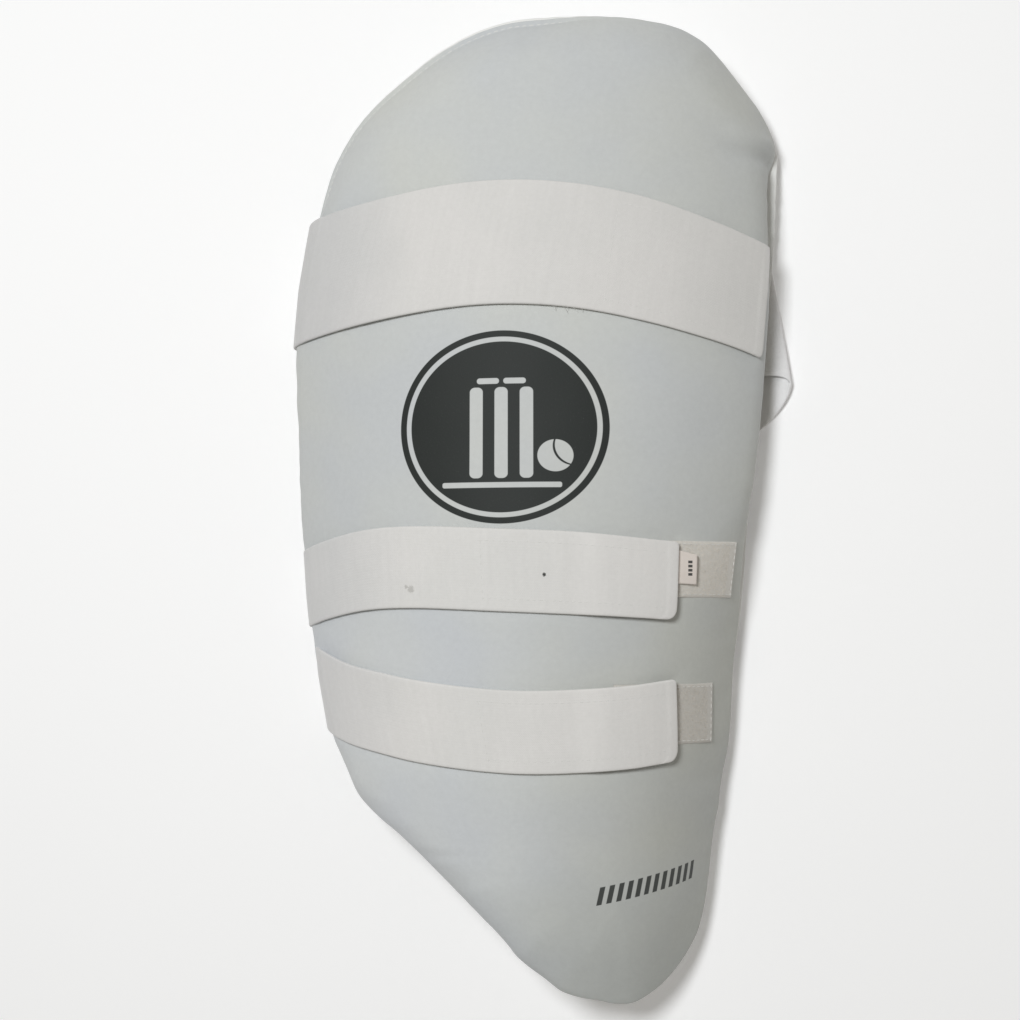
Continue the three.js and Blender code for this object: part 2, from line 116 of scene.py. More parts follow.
# Middle of each strap's front run, as shares, with the lower and upper corner of its free end, how
# far the two edges curl up in millimetres, and where it runs under the guard.
STRAPS = {
    "waist_strap": {
        "front": [
            (-0.8, 0.24), (-0.5, 0.25), (-0.13, 0.261), (0.07, 0.261),
            (0.25, 0.2555), (0.445, 0.244), (0.64, 0.227), (0.83, 0.2095),
        ],
        "end": (0.856, 0.895),
        "curl": (0.6, 0.05),
        "tight": 1.0,
        "under": {"root": 0.204, "fold": 0.182, "right": 0.136, "left": 0.24},
        "on_patch": False,
    },
    "upper_thigh_strap": {
        "front": [
            (-0.8, -0.081), (-0.64, -0.071), (-0.47, -0.063), (-0.31, -0.061),
            (0.0, -0.0645), (0.32, -0.069), (0.53, -0.073),
        ],
        "end": (0.528, 0.54),
        "curl": (0.35, 0.05),
        "tight": 0.0,
        "under": {"root": -0.074, "fold": -0.076, "right": -0.078, "left": -0.081},
        "on_patch": True,
    },
    "lower_thigh_strap": {
        "front": [
            (-0.73, -0.184), (-0.57, -0.199), (-0.41, -0.208), (-0.26, -0.2155),
            (0.04, -0.2236), (0.35, -0.2195), (0.52, -0.213),
        ],
        "end": (0.533, 0.528),
        "curl": (0.1, 0.35),
        "tight": -0.4,
        "under": {"root": -0.205, "fold": -0.203, "right": -0.2, "left": -0.184},
        "on_patch": True,
    },
}

# Loop patches and the label, as shares. Of a patch also the strip without pile at its right end, in
# metres, and how light its pile is.
PATCHES = {
    "upper_loop_patch": {
        "from": 0.33, "to": 0.778, "low": -0.0915, "high": -0.035, "bare": 0.0042, "tone": 1.02,
    },
    "lower_loop_patch": {
        "from": 0.33, "to": 0.7, "low": -0.2375, "high": -0.177, "bare": 0.0036, "tone": 0.955,
    },
}
LABEL = {"from": 0.5335, "to": 0.6, "low": -0.0775, "high": -0.044}


def length(name, text, value):
    """A length property in metres."""
    return bpy.props.FloatProperty(name=name, description=text, default=value, unit="LENGTH", precision=5)


def angle(name, text, degrees):
    """An angle property, given in degrees."""
    value = math.radians(degrees)
    return bpy.props.FloatProperty(name=name, description=text, default=value, subtype="ANGLE")


def number(name, text, value):
    """A property without a unit."""
    return bpy.props.FloatProperty(name=name, description=text, default=value)


class ShellSizes(bpy.types.PropertyGroup):
    """Sizes of the padded shell and its lining."""

    length: length("Length", "Length of the guard laid flat", 0.415)
    half_width: length("Half width", "Half of the guard's width laid flat", 0.118)
    arc_knee: length("Arc at knee", "Radius of the shell's arc at the knee end", 0.092)
    arc_middle: length("Arc at middle", "Radius of the shell's arc half way along", 0.12)
    arc_hip: length("Arc at hip", "Radius of the shell's arc at the hip end", 0.158)
    drop_hip: length("Drop at hip", "How far the crest drops at the hip end", 0.006)
    drop_knee: length("Drop at knee", "How far the crest drops at the knee end", 0.014)
    lining: length("Lining", "Thickness of the lining", 0.0017)
    gap: length("Seat gap", "Gap between pieces that touch", 0.0003)
    pad: length("Pad", "Thickness of the pad", 0.013)
    margin: length("Lining margin", "How far the lining stands out past the hem", 0.0015)
    hem_width: length("Hem width", "Width of the flat hem", 0.0045)
    hem: length("Hem thickness", "Thickness of the flat hem", 0.0016)
    shoulder: length("Shoulder", "Width of the rounded shoulder inside the hem", 0.015)
    left_inset: length("Left inset", "How far the rolled rim is set back on the left", 0.003)
    knee_shoulder: length("Knee shoulder", "How much wider the shoulder is right of the knee end", 0.04)
    crease_depth: length("Crease depth", "Depth of the crease near the hip end", 0.0026)
    crease_width: length("Crease width", "Half width of that crease", 0.0033)


class StrapSizes(bpy.types.PropertyGroup):
    """Sizes of the straps, patches and label."""

    thickness: length("Thickness", "Thickness of a strap", 0.0016)
    waist: length("Waist width", "Width of the waist strap", 0.052)
    thigh: length("Thigh width", "Width of a thigh strap", 0.034)
    root_inset: length("Root inset", "Distance of a sewn root from the right edge", 0.034)
    root_length: length("Root length", "Length of a sewn root", 0.02)
    root_gap: length("Root gap", "Gap between a root and the lining", 0.0006)
    front_gap: length("Front gap", "Gap between the shell and a strap", 0.0005)
    layer_gap: length("Layer gap", "Room between the two layers of the waist strap", 0.0018)
    edge_clearance: length("Edge clearance", "Room between a strap and the right rim", 0.0005)
    looseness: length("Looseness", "How far a strap stands off the left edge", 0.0022)
    loop_reach: length("Loop reach", "How far the waist strap's fold stands out", 0.0124)
    overhang: length("Overhang", "How much flatter the upper layer of that fold lies", 0.009)
    turn_inset: length("Turn inset", "Where a strap turns, inside the right rim", 0.004)
    floor_inset: length("Floor inset", "Where a strap comes down on the floor", 0.012)
    hem_length: length("End hem", "Length of the folded hem at a free end", 0.0046)
    patch: length("Patch thickness", "Thickness of a loop patch", 0.0012)
    label: length("Label thickness", "Thickness of the label", 0.0005)
    corner: length("Corner radius", "Radius of the rounded corners of the thigh straps", 0.0045)
    taper: length("Taper", "How much narrower a thigh strap is at its free end", 0.0016)


class StitchSizes(bpy.types.PropertyGroup):
    """Sizes of the stitches."""

    pitch: length("Pitch", "Distance from stitch to stitch", 0.0031)
    run: length("Run", "Length of one stitch", 0.0023)
    thread: length("Thread", "Diameter of the thread", 0.00036)
    hem_inset: length("Hem inset", "Distance of the hem's stitches from the pad's rim", 0.002)
    strap_inset: length("Strap inset", "Distance of a strap's stitches from its edges", 0.0052)
    seed: bpy.props.IntProperty(name="Seed", description="Seed of the small differences", default=7)


class StageLook(bpy.types.PropertyGroup):
    """Camera and light."""

    distance: length("Distance", "Camera distance from the guard", 0.8)
    turn: angle("Turn", "Camera turn to the right", 10.4)
    dip: angle("Dip", "Camera turn to the knee end", 3.0)
    key: number("Key", "Power of the key light in watts", 13.2)
    glow: number("Glow", "Light that the floor gives off, as of a lit table", 0.1)
    ambient: number("Ambient", "Strength of the light from all around", 0.27)


def mix(a, b, k):
    return a + (b - a) * k


def smooth(v):
    v = np.clip(v, 0.0, 1.0)
    return v * v * (3 - 2 * v)


def spline(points, closed, steps):
    """Centripetal Catmull-Rom through points, as a dense polyline."""
    p = np.asarray(points, float)
    if closed:
        quads = [np.roll(p, k, axis=0) for k in (1, 0, -1, -2)]
    else:
        p = np.vstack([2 * p[0] - p[1], p, 2 * p[-1] - p[-2]])
        quads = [p[k : len(p) - 3 + k] for k in range(4)]
    a, b, c, d = (q[:, None, :] for q in quads)
    t0, t1, t2 = (np.sqrt(np.linalg.norm(w - v, axis=-1, keepdims=True)) for v, w in ((a, b), (b, c), (c, d)))
    m1 = ((b - a) / t0 - (c - a) / (t0 + t1) + (c - b) / t1) * t1
    m2 = ((c - b) / t1 - (d - b) / (t1 + t2) + (d - c) / t2) * t1
    k = (np.arange(steps) / steps)[None, :, None]
    out = b + m1 * k + (3 * (c - b) - 2 * m1 - m2) * k**2 + (2 * (b - c) + m1 + m2) * k**3
    out = out.reshape(-1, p.shape[1])
    return out if closed else np.vstack([out, p[-2]])


def bumps(points, scale, seed=0.0):
    """Smooth noise from about -1 to 1 at each point, with features of the given size in metres."""
    out = np.empty(len(points))
    for i, p in enumerate(points):
        z = p[2] if len(p) > 2 else 0.0
        out[i] = noise.noise(Vector((p[0] / scale + seed, p[1] / scale - seed, z / scale)))
    return out


class Shell:
    """The curved shell: flat places and heights become points."""

    def __init__(self, scene):
        self.s = scene.guard_shell
        self.b = scene.guard_straps
        s = self.s
        rows = [(r["right"], r["along"]) for r in OUTLINE]
        rows += [(r["left"], r["along"]) for r in reversed(OUTLINE)]
        self.loop = spline(np.array(rows) * (s.half_width, s.length), True, 12)
        self.base = s.lining + s.gap
        self.top = self.base + s.pad
        self.hem_end = s.margin + s.hem_width
        self.shoulder_end = self.hem_end + s.shoulder
        self.floor = self.find_floor()
        self.shift = np.zeros(3)
        self.shift = self.find_shift()

    def radius(self, y):
        """Radius of the arc at a place along the guard."""
        s = self.s
        t = y / s.length + 0.5
        knee = s.arc_knee * (1 - t) * (1 - 2 * t)
        middle = 4 * s.arc_middle * t * (1 - t)
        return knee + middle + s.arc_hip * t * (2 * t - 1)

    def crest(self, y):
        """How far the crest line drops at a place along the guard, as a negative height."""
        k = 2 * y / self.s.length
        return -self.s.drop_hip * np.clip(k, 0, None) ** 2 - self.s.drop_knee * np.clip(-k, 0, None) ** 2

    def point(self, across, y, height):
        """Points of the shell at flat places and heights above the lining's inner face."""
        across, y, height = np.broadcast_arrays(np.asarray(across, float), y, height)
        r = self.radius(y)
        angle = across / r
        x = (r + height) * np.sin(angle)
        z = self.crest(y) - r + (r + height) * np.cos(angle)
        return np.stack([x, y, z], -1) + self.shift

    def lifted(self, ring, height):
        """Points of the shell at rows of flat places, at one height or one for each."""
        return self.point(ring[:, 0], ring[:, 1], height)

    def edge_distance(self, places):
        """Distance from flat places to the outline."""
        p = np.asarray(places, float)
        flat = p.reshape(-1, 2)
        a = self.loop
        e = np.roll(a, -1, axis=0) - a
        out = np.empty(len(flat))
        for start in range(0, len(flat), 4000):
            q = flat[start : start + 4000, None, :] - a[None]
            k = np.clip((q * e).sum(-1) / (e * e).sum(-1), 0, 1)
            out[start : start + 4000] = np.sqrt(((q - e * k[..., None]) ** 2).sum(-1)).min(1)
        return out.reshape(p.shape[:-1])

    def edge_at(self, y, side):
        """Left or right edge of the flat outline at a place along it."""
        along = [r["along"] for r in OUTLINE]
        return np.interp(y / self.s.length, along, [r[side] for r in OUTLINE]) * self.s.half_width

    def open_hem(self, across, y):
        """Where the hem lies flat and open, 1, and where it is rolled under, 0."""
        left = smooth((0.45 - across / self.s.half_width) / 0.4)
        return left * smooth((y / self.s.length + 0.05) / 0.2)

    def rim_sizes(self, across, y):
        """How far the pad's rim is set back from the lining's, and how far the lining's rim curls up."""
        along = [r["along"] for r in RIGHT_RIM]
        right = smooth(across / self.s.half_width / 0.5)
        inset = np.interp(y / self.s.length, along, [r["inset"] for r in RIGHT_RIM]) * right
        curl = np.interp(y / self.s.length, along, [r["curl"] for r in RIGHT_RIM]) * right
        left = smooth(-across / self.s.half_width / 0.5) * (1 - self.open_hem(across, y))
        return inset + self.s.left_inset * left, curl

    def outer(self, across, y, distance=None):
        """Height of the pad's outer face, at a distance from the pad's own rim if one is given."""
        if distance is None:
            distance = self.edge_distance(np.stack(np.broadcast_arrays(across, y), -1))
            inset = self.rim_sizes(across, y)[0]
            moved = np.maximum(distance - inset, 0) / (1 - inset / INSET_REACH)
            distance = np.where(distance < INSET_REACH, moved, distance)
        s = self.s
        share, along = across / s.half_width, y / s.length
        hip = smooth((along - 0.2) / 0.16)
        knee = smooth((0.03 - along) / 0.17) * smooth((share + 0.1) / 0.45)
        hem_end = s.margin + s.hem_width * mix(*FLAT_HEM, self.open_hem(across, y))
        width = s.shoulder + hip * HIP_SHOULDER + knee * s.knee_shoulder
        rise = np.clip((distance - hem_end) / width, 0, 1)
        profile = mix(np.sqrt(1 - (1 - rise) ** 2), np.sin(rise * math.pi / 2), np.maximum(hip, knee) * 0.9)
        reach = smooth((share - CREASE["start"]) / CREASE["run"])
        off = (y - mix(*CREASE["along"], reach) * s.length) / s.crease_width
        fold = np.exp(-off * off) - CREASE["lip"] * np.exp(-((off - CREASE["lip_off"]) ** 2))
        crease = s.crease_depth * reach * fold * np.clip(rise * 5, 0, 1)
        return mix(self.base + s.hem, self.top, profile) - crease

    def find_floor(self):
        """The level that the straps lie on under the guard."""
        self.shift = np.zeros(3)
        b = self.b
        lowest = self.lifted(self.loop, 0).min(0)[2]
        y = STRAPS["waist_strap"]["under"]["root"] * self.s.length + np.array([-0.5, 0, 0.5]) * b.waist
        rims = self.point(self.edge_at(y, "right"), y, 0)[:, 2].min()
        two = rims - b.edge_clearance - 2 * b.thickness - b.layer_gap
        return min(lowest - self.s.gap - b.thickness, two)

    def find_shift(self):
        """From the shell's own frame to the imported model's, by the upper loop patch."""
        low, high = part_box("upper_loop_patch")
        box = PATCHES["upper_loop_patch"]
        y = np.linspace(box["low"], box["high"], 4) * self.s.length
        across = box["from"] * self.s.half_width
        inner = self.point(across, y, self.top + self.s.gap)
        outer = self.point(across, y, self.top + self.s.gap + self.b.patch)
        return np.array([low[0] - inner[:, 0].min(), low[1] - y[0], high[2] - outer[:, 2].max()])


class Rings:
    """Rays from the spine to the outline, and rings of flat places along them."""

    def __init__(self, shell, side, hip, knee):
        s = shell.s
        k = np.linspace(0, 1, side + 1)[:, None]
        size = np.array([s.half_width, s.length])
        self.spine = (np.array(SPINE["knee"]) * (1 - k) + np.array(SPINE["hip"]) * k) * size
        rows = [(j, 0.0) for j in range(side)]
        rows += [(side, math.pi * j / hip) for j in range(hip)]
        rows += [(j, math.pi) for j in range(side, 0, -1)]
        rows += [(0, math.pi * (1 + j / knee)) for j in range(knee)]
        self.row = np.array([r[0] for r in rows])
        self.counts = (side, hip, knee)
        angle = np.array([r[1] for r in rows])
        self.start = self.spine[self.row]
        way = np.stack([np.cos(angle), np.sin(angle)], -1)
        a = shell.loop
        e = np.roll(a, -1, axis=0) - a
        area = way[:, None, 0] * e[None, :, 1] - way[:, None, 1] * e[None, :, 0]
        q = a[None] - self.start[:, None]
        t = (q[..., 0] * e[None, :, 1] - q[..., 1] * e[None, :, 0]) / area
        u = (q[..., 0] * way[:, None, 1] - q[..., 1] * way[:, None, 0]) / area
        t[(t <= 0) | (u < 0) | (u > 1)] = np.inf
        reach = t.min(1)
        self.rim = self.start + way * reach[:, None]
        step = np.linalg.norm(np.roll(self.rim, -1, axis=0) - self.rim, axis=1)
        self.around = np.concatenate([[0], np.cumsum(step)[:-1]])
        self.total = step.sum()
        depth = np.minimum(0.05, reach * 0.9)[:, None] * np.linspace(0, 1, 51)[None]
        places = self.rim[:, None] - way[:, None] * depth[..., None]
        self.depth, self.way = depth, way
        self.inside = np.maximum.accumulate(shell.edge_distance(places), axis=1)

    def at(self, distance):
        """The ring of flat places at a distance from the outline."""
        k = np.array([np.interp(distance, self.inside[i], self.depth[i]) for i in range(len(self.rim))])
        return self.rim - self.way * k[:, None]

    def between(self, ring, share):
        """A ring part of the way from another one to the spine."""
        return mix(ring, self.start, share)

    def line(self):
        """The distances round the rim as places on a straight line."""
        return np.column_stack([self.around, np.zeros((len(self.around), 2))])


def make_object(name, vertices, faces, uv=None):
    """A new mesh object with smooth faces and a UV map named flat."""
    mesh = bpy.data.meshes.new(name)
    mesh.from_pydata([tuple(v) for v in vertices], [], [tuple(int(i) for i in f) for f in faces])
    mesh.polygons.foreach_set("use_smooth", [True] * len(mesh.polygons))
    if uv is not None:
        layer = mesh.uv_layers.new(name="flat")
        index = np.empty(len(mesh.loops), dtype=np.int32)
        mesh.loops.foreach_get("vertex_index", index)
        layer.data.foreach_set("uv", np.asarray(uv, float)[index].ravel())
    mesh.validate()
    mesh.update()
    obj = bpy.data.objects.new(name, mesh)
    bpy.context.scene.collection.objects.link(obj)
    return obj


def dress(obj, node, material):
    """Gives the object its material and slot, lets it ride on the body and stand for a node, if any."""
    obj.data.materials.append(material)
    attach(obj, "root")
    if node:
        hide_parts(node)


def ring_faces(upper, lower, rings):
    """Faces of a closed solid between two stacks of rings, each closed on its spine row."""
    count = len(rings.row)
    i = np.arange(count)
    j = (i + 1) % count
    faces = []
    starts = []
    place = 0
    for stack in (upper, lower):
        rows = []
        for row in stack:
            rows.append(place)
            place += len(row)
        starts.append(rows)
    for side, rows in enumerate(starts):
        for k in range(len(rows) - 1):
            last = k == len(rows) - 2
            c = rows[k + 1] + (rings.row[j] if last else j)
            d = rows[k + 1] + (rings.row[i] if last else i)
            for f in zip(rows[k] + i, rows[k] + j, c, d):
                f = f[:3] if f[2] == f[3] else f
                faces.append(f if side == 0 else f[::-1])
    faces += list(zip(starts[1][0] + i, starts[1][0] + j, starts[0][0] + j, starts[0][0] + i))
    return faces


def band_faces(rows, columns):
    """Faces of a closed band between an outer and an inner grid of points."""
    def at(side, i, j):
        return (side * rows + i) * columns + j

    faces = []
    for i in range(rows - 1):
        for j in range(columns - 1):
            faces.append((at(0, i, j), at(0, i + 1, j), at(0, i + 1, j + 1), at(0, i, j + 1)))
            faces.append((at(1, i, j), at(1, i, j + 1), at(1, i + 1, j + 1), at(1, i + 1, j)))
        k = columns - 1
        faces.append((at(0, i, 0), at(1, i, 0), at(1, i + 1, 0), at(0, i + 1, 0)))
        faces.append((at(0, i, k), at(0, i + 1, k), at(1, i + 1, k), at(1, i, k)))
    for j in range(columns - 1):
        k = rows - 1
        faces.append((at(0, 0, j), at(0, 0, j + 1), at(1, 0, j + 1), at(1, 0, j)))
        faces.append((at(0, k, j), at(1, k, j), at(1, k, j + 1), at(0, k, j + 1)))
    return faces


def ring_object(name, upper, lower, rings, uv):
    """A closed solid between two stacks of rings."""
    faces = ring_faces(upper, lower, rings)
    return make_object(name, np.concatenate(upper + lower), faces, np.concatenate(uv))


def band_object(name, outer, inner, flat):
    """A closed band between two grids of points, each laid out by the same grid of flat places."""
    vertices = np.concatenate([outer.reshape(-1, 3), inner.reshape(-1, 3)])
    uv = flat.reshape(-1, 2)
    return make_object(name, vertices, band_faces(*outer.shape[:2]), np.vstack([uv, uv]))


def grid_faces(rows, columns):
    """Faces of an open grid of points."""
    return [
        (i * columns + j, (i + 1) * columns + j, (i + 1) * columns + j + 1, i * columns + j + 1)
        for i in range(rows - 1)
        for j in range(columns - 1)
    ]


def grid_normals(grid):
    """Unit normals of a grid of points."""
    du = np.gradient(grid, axis=0)
    dv = np.gradient(grid, axis=1)
    n = np.cross(du, dv)
    return n / np.linalg.norm(n, axis=-1, keepdims=True)


# Straps


def bezier(p, k):
    """Points of a cubic curve with four controls."""
    m = 1 - k
    f = np.stack([m**3, 3 * m * m * k, 3 * m * k * k, k**3], -1)
    return f @ np.array(p)


# Distances of the last rows of a strap from its free end, in millimetres.
END_STEPS = np.array([0.1, 0.3, 0.7, 1.3, 2.1, 3.0, 3.8, 4.3, 4.8, 5.3, 6.2, 7.6, 9.4])

# How much wider the waist strap is at its free end, how much thicker a folded end hem is, and how far
# from an edge the cloth is rounded, in metres.
WAIST_FLARE = 0.0028
HEM_RISE = 0.00022
ROUND_REACH = 0.8 * MM


class Strap:
    """A strap's middle face as a grid: rows along it, columns from its lower to its upper edge."""

    def __init__(self, shell, name):
        self.shell, self.name = shell, name
        self.short = name.replace("_strap", "")
        self.wide = name == "waist_strap"
        self.data = STRAPS[name]
        b = shell.b
        self.width = b.waist if self.wide else b.thigh
        self.half = b.thickness / 2
        self.reach = b.loop_reach if self.wide else -b.turn_inset
        rows = np.array(self.data["front"]) * (shell.s.half_width, shell.s.length)
        self.front = spline(rows, False, 16)
        edge = np.array([0, 0.12, 0.4, 0.8, 1.4]) * MM
        inner = np.linspace(2.2 * MM, self.width - 2.2 * MM, int(self.width / (2 * MM)))
        self.offsets = np.concatenate([edge, inner, (self.width - edge)[::-1]])
        lines = [self.line(offset) for offset in self.offsets]
        self.grid = np.stack([points for points, _ in lines], 1)
        self.front_start = lines[0][1]

    def middle(self, across):
        """Where the middle of the front run lies along the guard."""
        slope = (self.front[-1, 1] - self.front[-2, 1]) / (self.front[-1, 0] - self.front[-2, 0])
        y = np.interp(across, self.front[:, 0], self.front[:, 1])
        return y + np.maximum(across - self.front[-1, 0], 0) * slope

    def end_at(self, offset):
        """Flat place of the free end at an offset from the strap's lower edge, with rounded corners."""
        low, high = self.data["end"]
        end = mix(low, high, offset / self.width) * self.shell.s.half_width
        b = self.shell.b
        share = 0.35 if self.wide else 1
        for inset, r in ((offset, b.corner), (self.width - offset, b.corner * 0.45)):
            if inset < r:
                end -= (r - math.sqrt(max(0.0, r * r - (r - inset) ** 2))) * share
        return end

    def line(self, offset):
        """One line along the strap from its sewn root to its free end, and where its front run starts."""
        sh, b, s, half = self.shell, self.shell.b, self.shell.s, self.half
        side = offset - self.width / 2
        v = offset / self.width
        under = self.data["under"]
        root, fold, right, left = (under[k] * s.length + side for k in ("root", "fold", "right", "left"))
        edge = sh.edge_at(root, "right")
        shift = sh.shift

        def section(across, y, height):
            p = sh.point(across, y, height)
            return np.array([p[0], p[2]])

        start = edge - b.root_inset
        end = start + b.root_length
        k = np.linspace(0, 1, 12)
        parts = [sh.point(mix(start, end, k), root, -b.root_gap - half)]
        leave = section(end, root, -b.root_gap - half)
        ahead = section(end + MM, root, -b.root_gap - half) - leave
        rim = section(edge, root, 0)
        turn_at = np.array([rim[0] - b.turn_inset, rim[1] - b.edge_clearance - half])
        reach = (turn_at[0] - leave[0]) * 0.5
        out = leave + ahead * reach / MM
        into = np.array([turn_at[0] - reach * 0.6, turn_at[1]])
        k = np.linspace(0, 1, 17)[1:]
        q = bezier([leave, out, into, turn_at], k)
        parts.append(np.stack([q[:, 0], np.full(len(k), root), q[:, 1]], -1))

        floor = sh.floor + shift[2] + half
        turn = rim[0] + mix(self.reach, min(0.0, self.reach), v)
        land = np.array([rim[0] - b.floor_inset, floor])
        far = (8 * turn - turn_at[0] - land[0]) / 6
        k = np.linspace(0, 1, 41)[1:]
        over = b.overhang * (1 - v) if self.wide else 0.0
        q = bezier([turn_at, (far + over, turn_at[1]), (far - over, floor), land], k)
        y = mix(root, right, k * k * (6 * k - 4 * k * k - 1))
        y = y + (fold - mix(root, right, 0.25)) * 16 * (k * (1 - k)) ** 2
        parts.append(np.stack([q[:, 0], y, q[:, 1]], -1))

        start_y = self.middle(self.data["front"][0][0] * s.half_width) + side
        rim_left = sh.edge_at(start_y, "left")
        begin = rim_left + sh.shoulder_end
        meet_y, ahead_y = self.middle(begin) + side, self.middle(begin + MM) + side
        rise = np.array([section(sh.edge_at(left, "left"), left, 0)[0] + b.floor_inset, floor])
        k = np.linspace(0, 1, 61)[1:]
        parts.append(np.stack([mix(land[0], rise[0], k), mix(right, left, k), np.full(len(k), floor)], -1))

        outside = sh.top + b.front_gap + half
        meet = section(begin, meet_y, outside)
        back = 0.37 * (meet[1] - floor)
        beyond = section(begin - back, meet_y, outside)
        bulge = section(rim_left + sh.shoulder_end * 0.42, start_y, sh.base + s.pad * 0.72)[0]
        widest = bulge - mix(b.looseness, b.looseness * self.data["tight"], v) - half
        low = np.array([(8 * widest - rise[0] - 3 * beyond[0] - meet[0]) / 3, floor])
        k = np.linspace(0, 1, 49)[1:]
        q = bezier([rise, low, beyond, meet], k)
        slope = (ahead_y - meet_y) / MM * 3 * back
        parts.append(np.stack([q[:, 0], mix(left, meet_y, smooth(k)) + slope * k * k * (k - 1), q[:, 1]], -1))

        count = sum(len(p) for p in parts)
        stop = self.end_at(offset)
        near = END_STEPS[::-1] * MM
        far_part = np.linspace(begin, stop - 12 * MM, 112)[1:]
        across = np.concatenate([far_part, stop - near, [stop]])
        narrow = 0.0
        if self.name == "upper_thigh_strap":
            narrow = b.taper * v * smooth((across - stop) / 0.045 + 1)
        elif self.wide:
            narrow = -WAIST_FLARE * (1 - v) * smooth((across - stop) / 0.055 + 1)
        y = self.middle(across) + side - narrow
        lift = 0.0
        if self.data["on_patch"]:
            lift = (b.patch + s.gap) * smooth((across / s.half_width - 0.2) / 0.1)
        parts.append(sh.point(across, y, sh.outer(across, y) + b.front_gap + half + lift))
        return np.concatenate(parts), count

    def faces_of(self):
        """Outer and inner grids, with rounded edges, a folded end hem and a little unevenness."""
        b = self.shell.b
        grid = self.grid.copy()
        rows, columns = grid.shape[:2]
        front = self.front_start
        normal = grid_normals(grid)
        inset = np.minimum(self.offsets, self.width - self.offsets)
        left = np.linalg.norm(grid[-1][None] - grid, axis=-1)
        wave = bumps(grid.reshape(-1, 3), 0.022, 3.0).reshape(rows, columns)
        wave += 0.5 * bumps(grid.reshape(-1, 3), 0.009, 8.0).reshape(rows, columns)
        share = np.clip((np.arange(rows) - front) / 20, 0, 1)[:, None]
        run = (np.arange(rows) - front) / (rows - front)
        grid += normal * (0.00016 * (wave + 1.2) * share)[..., None]
        low_edge = smooth(1 - self.offsets / (0.35 * self.width))[None]
        high_edge = smooth(1 - (self.width - self.offsets) / (0.35 * self.width))[None]
        swell = np.exp(-(((run - 0.18) / 0.16) ** 2))[:, None] * share
        low_curl, high_curl = self.data["curl"]
        grid += normal * (MM * swell * (low_curl * low_edge + high_curl * high_edge))[..., None]
        round_edge = np.sqrt(np.clip(1 - (1 - np.clip(inset / ROUND_REACH, 0, 1)) ** 2, 0.01, 1))[None]
        round_end = np.ones((rows, 1))
        for i in range(1, 8):
            gone = left[-i].min()
            round_end[-i] = math.sqrt(max(0.01, 1 - (1 - min(1, gone / ROUND_REACH)) ** 2))
        thick = self.half * round_edge * round_end
        hem = smooth((b.hem_length + 0.9 * MM - left) / (1.8 * MM)) * HEM_RISE
        hem = hem * round_end * round_edge * (share > 0)
        outer = grid + normal * (thick + hem)[..., None]
        inner = grid - normal * thick[..., None]
        return outer, inner, normal

    def build(self):
        """The strap as an object; its flat map holds the distance along it and across it."""
        self.outer_face, inner, self.normal = self.faces_of()
        mid = self.grid[:, inner.shape[1] // 2]
        self.along = np.concatenate([[0], np.cumsum(np.linalg.norm(np.diff(mid, axis=0), axis=1))])
        flat = np.stack(np.broadcast_arrays(self.along[:, None], self.offsets[None]), -1)
        return band_object("strap_" + self.short, self.outer_face, inner, flat)

    def trace(self, offset, start, stop, rise):
        """Points off the outer face along the strap, between two distances from the free end."""
        total = self.along[-1]
        places = np.arange(total - start, total - stop, MM)
        rows = np.interp(places, self.along, np.arange(len(self.along)))
        column = np.interp(offset, self.offsets, np.arange(len(self.offsets)))
        return self.sample(rows, np.full(len(rows), column), rise)

    def trace_across(self, distance, low, high, rise):
        """Points off the outer face across the strap, at a distance from the free end."""
        offsets = np.arange(low, high, MM)
        row = np.interp(self.along[-1] - distance, self.along, np.arange(len(self.along)))
        columns = np.interp(offsets, self.offsets, np.arange(len(self.offsets)))
        return self.sample(np.full(len(offsets), row), columns, rise)

    def sample(self, rows, columns, rise):
        """Points between the rows and columns of the outer face, raised off it."""
        i = np.clip(rows.astype(int), 0, self.outer_face.shape[0] - 2)
        j = np.clip(columns.astype(int), 0, self.outer_face.shape[1] - 2)
        a, c = (rows - i)[:, None], (columns - j)[:, None]
        f = self.outer_face + self.normal * rise
        return mix(mix(f[i, j], f[i + 1, j], a), mix(f[i, j + 1], f[i + 1, j + 1], a), c)


# Stitches and pile, by geometry nodes


def new_tree(name, sizes):
    """A tree with a mesh in and out, and the named sizes, a seed and a material as its inputs."""
    tree = bpy.data.node_groups.new(name, "GeometryNodeTree")
    face = tree.interface
    face.new_socket("Geometry", in_out="INPUT", socket_type="NodeSocketGeometry")
    face.new_socket("Geometry", in_out="OUTPUT", socket_type="NodeSocketGeometry")
    for size in sizes:
        face.new_socket(size, in_out="INPUT", socket_type="NodeSocketFloat")
    face.new_socket("Seed", in_out="INPUT", socket_type="NodeSocketInt")
    face.new_socket("Material", in_out="INPUT", socket_type="NodeSocketMaterial")
    return tree, tree.nodes.new("NodeGroupInput")


def end_tree(tree, inp, copies):
    """Makes the copies real, gives them the material and passes them out."""
    n, link = tree.nodes, tree.links.new
    real = n.new("GeometryNodeRealizeInstances")
    paint = n.new("GeometryNodeSetMaterial")
    link(copies, real.inputs[0])
    link(real.outputs[0], paint.inputs["Geometry"])
    link(inp.outputs["Material"], paint.inputs["Material"])
    link(paint.outputs[0], n.new("NodeGroupOutput").inputs[0])
    return tree


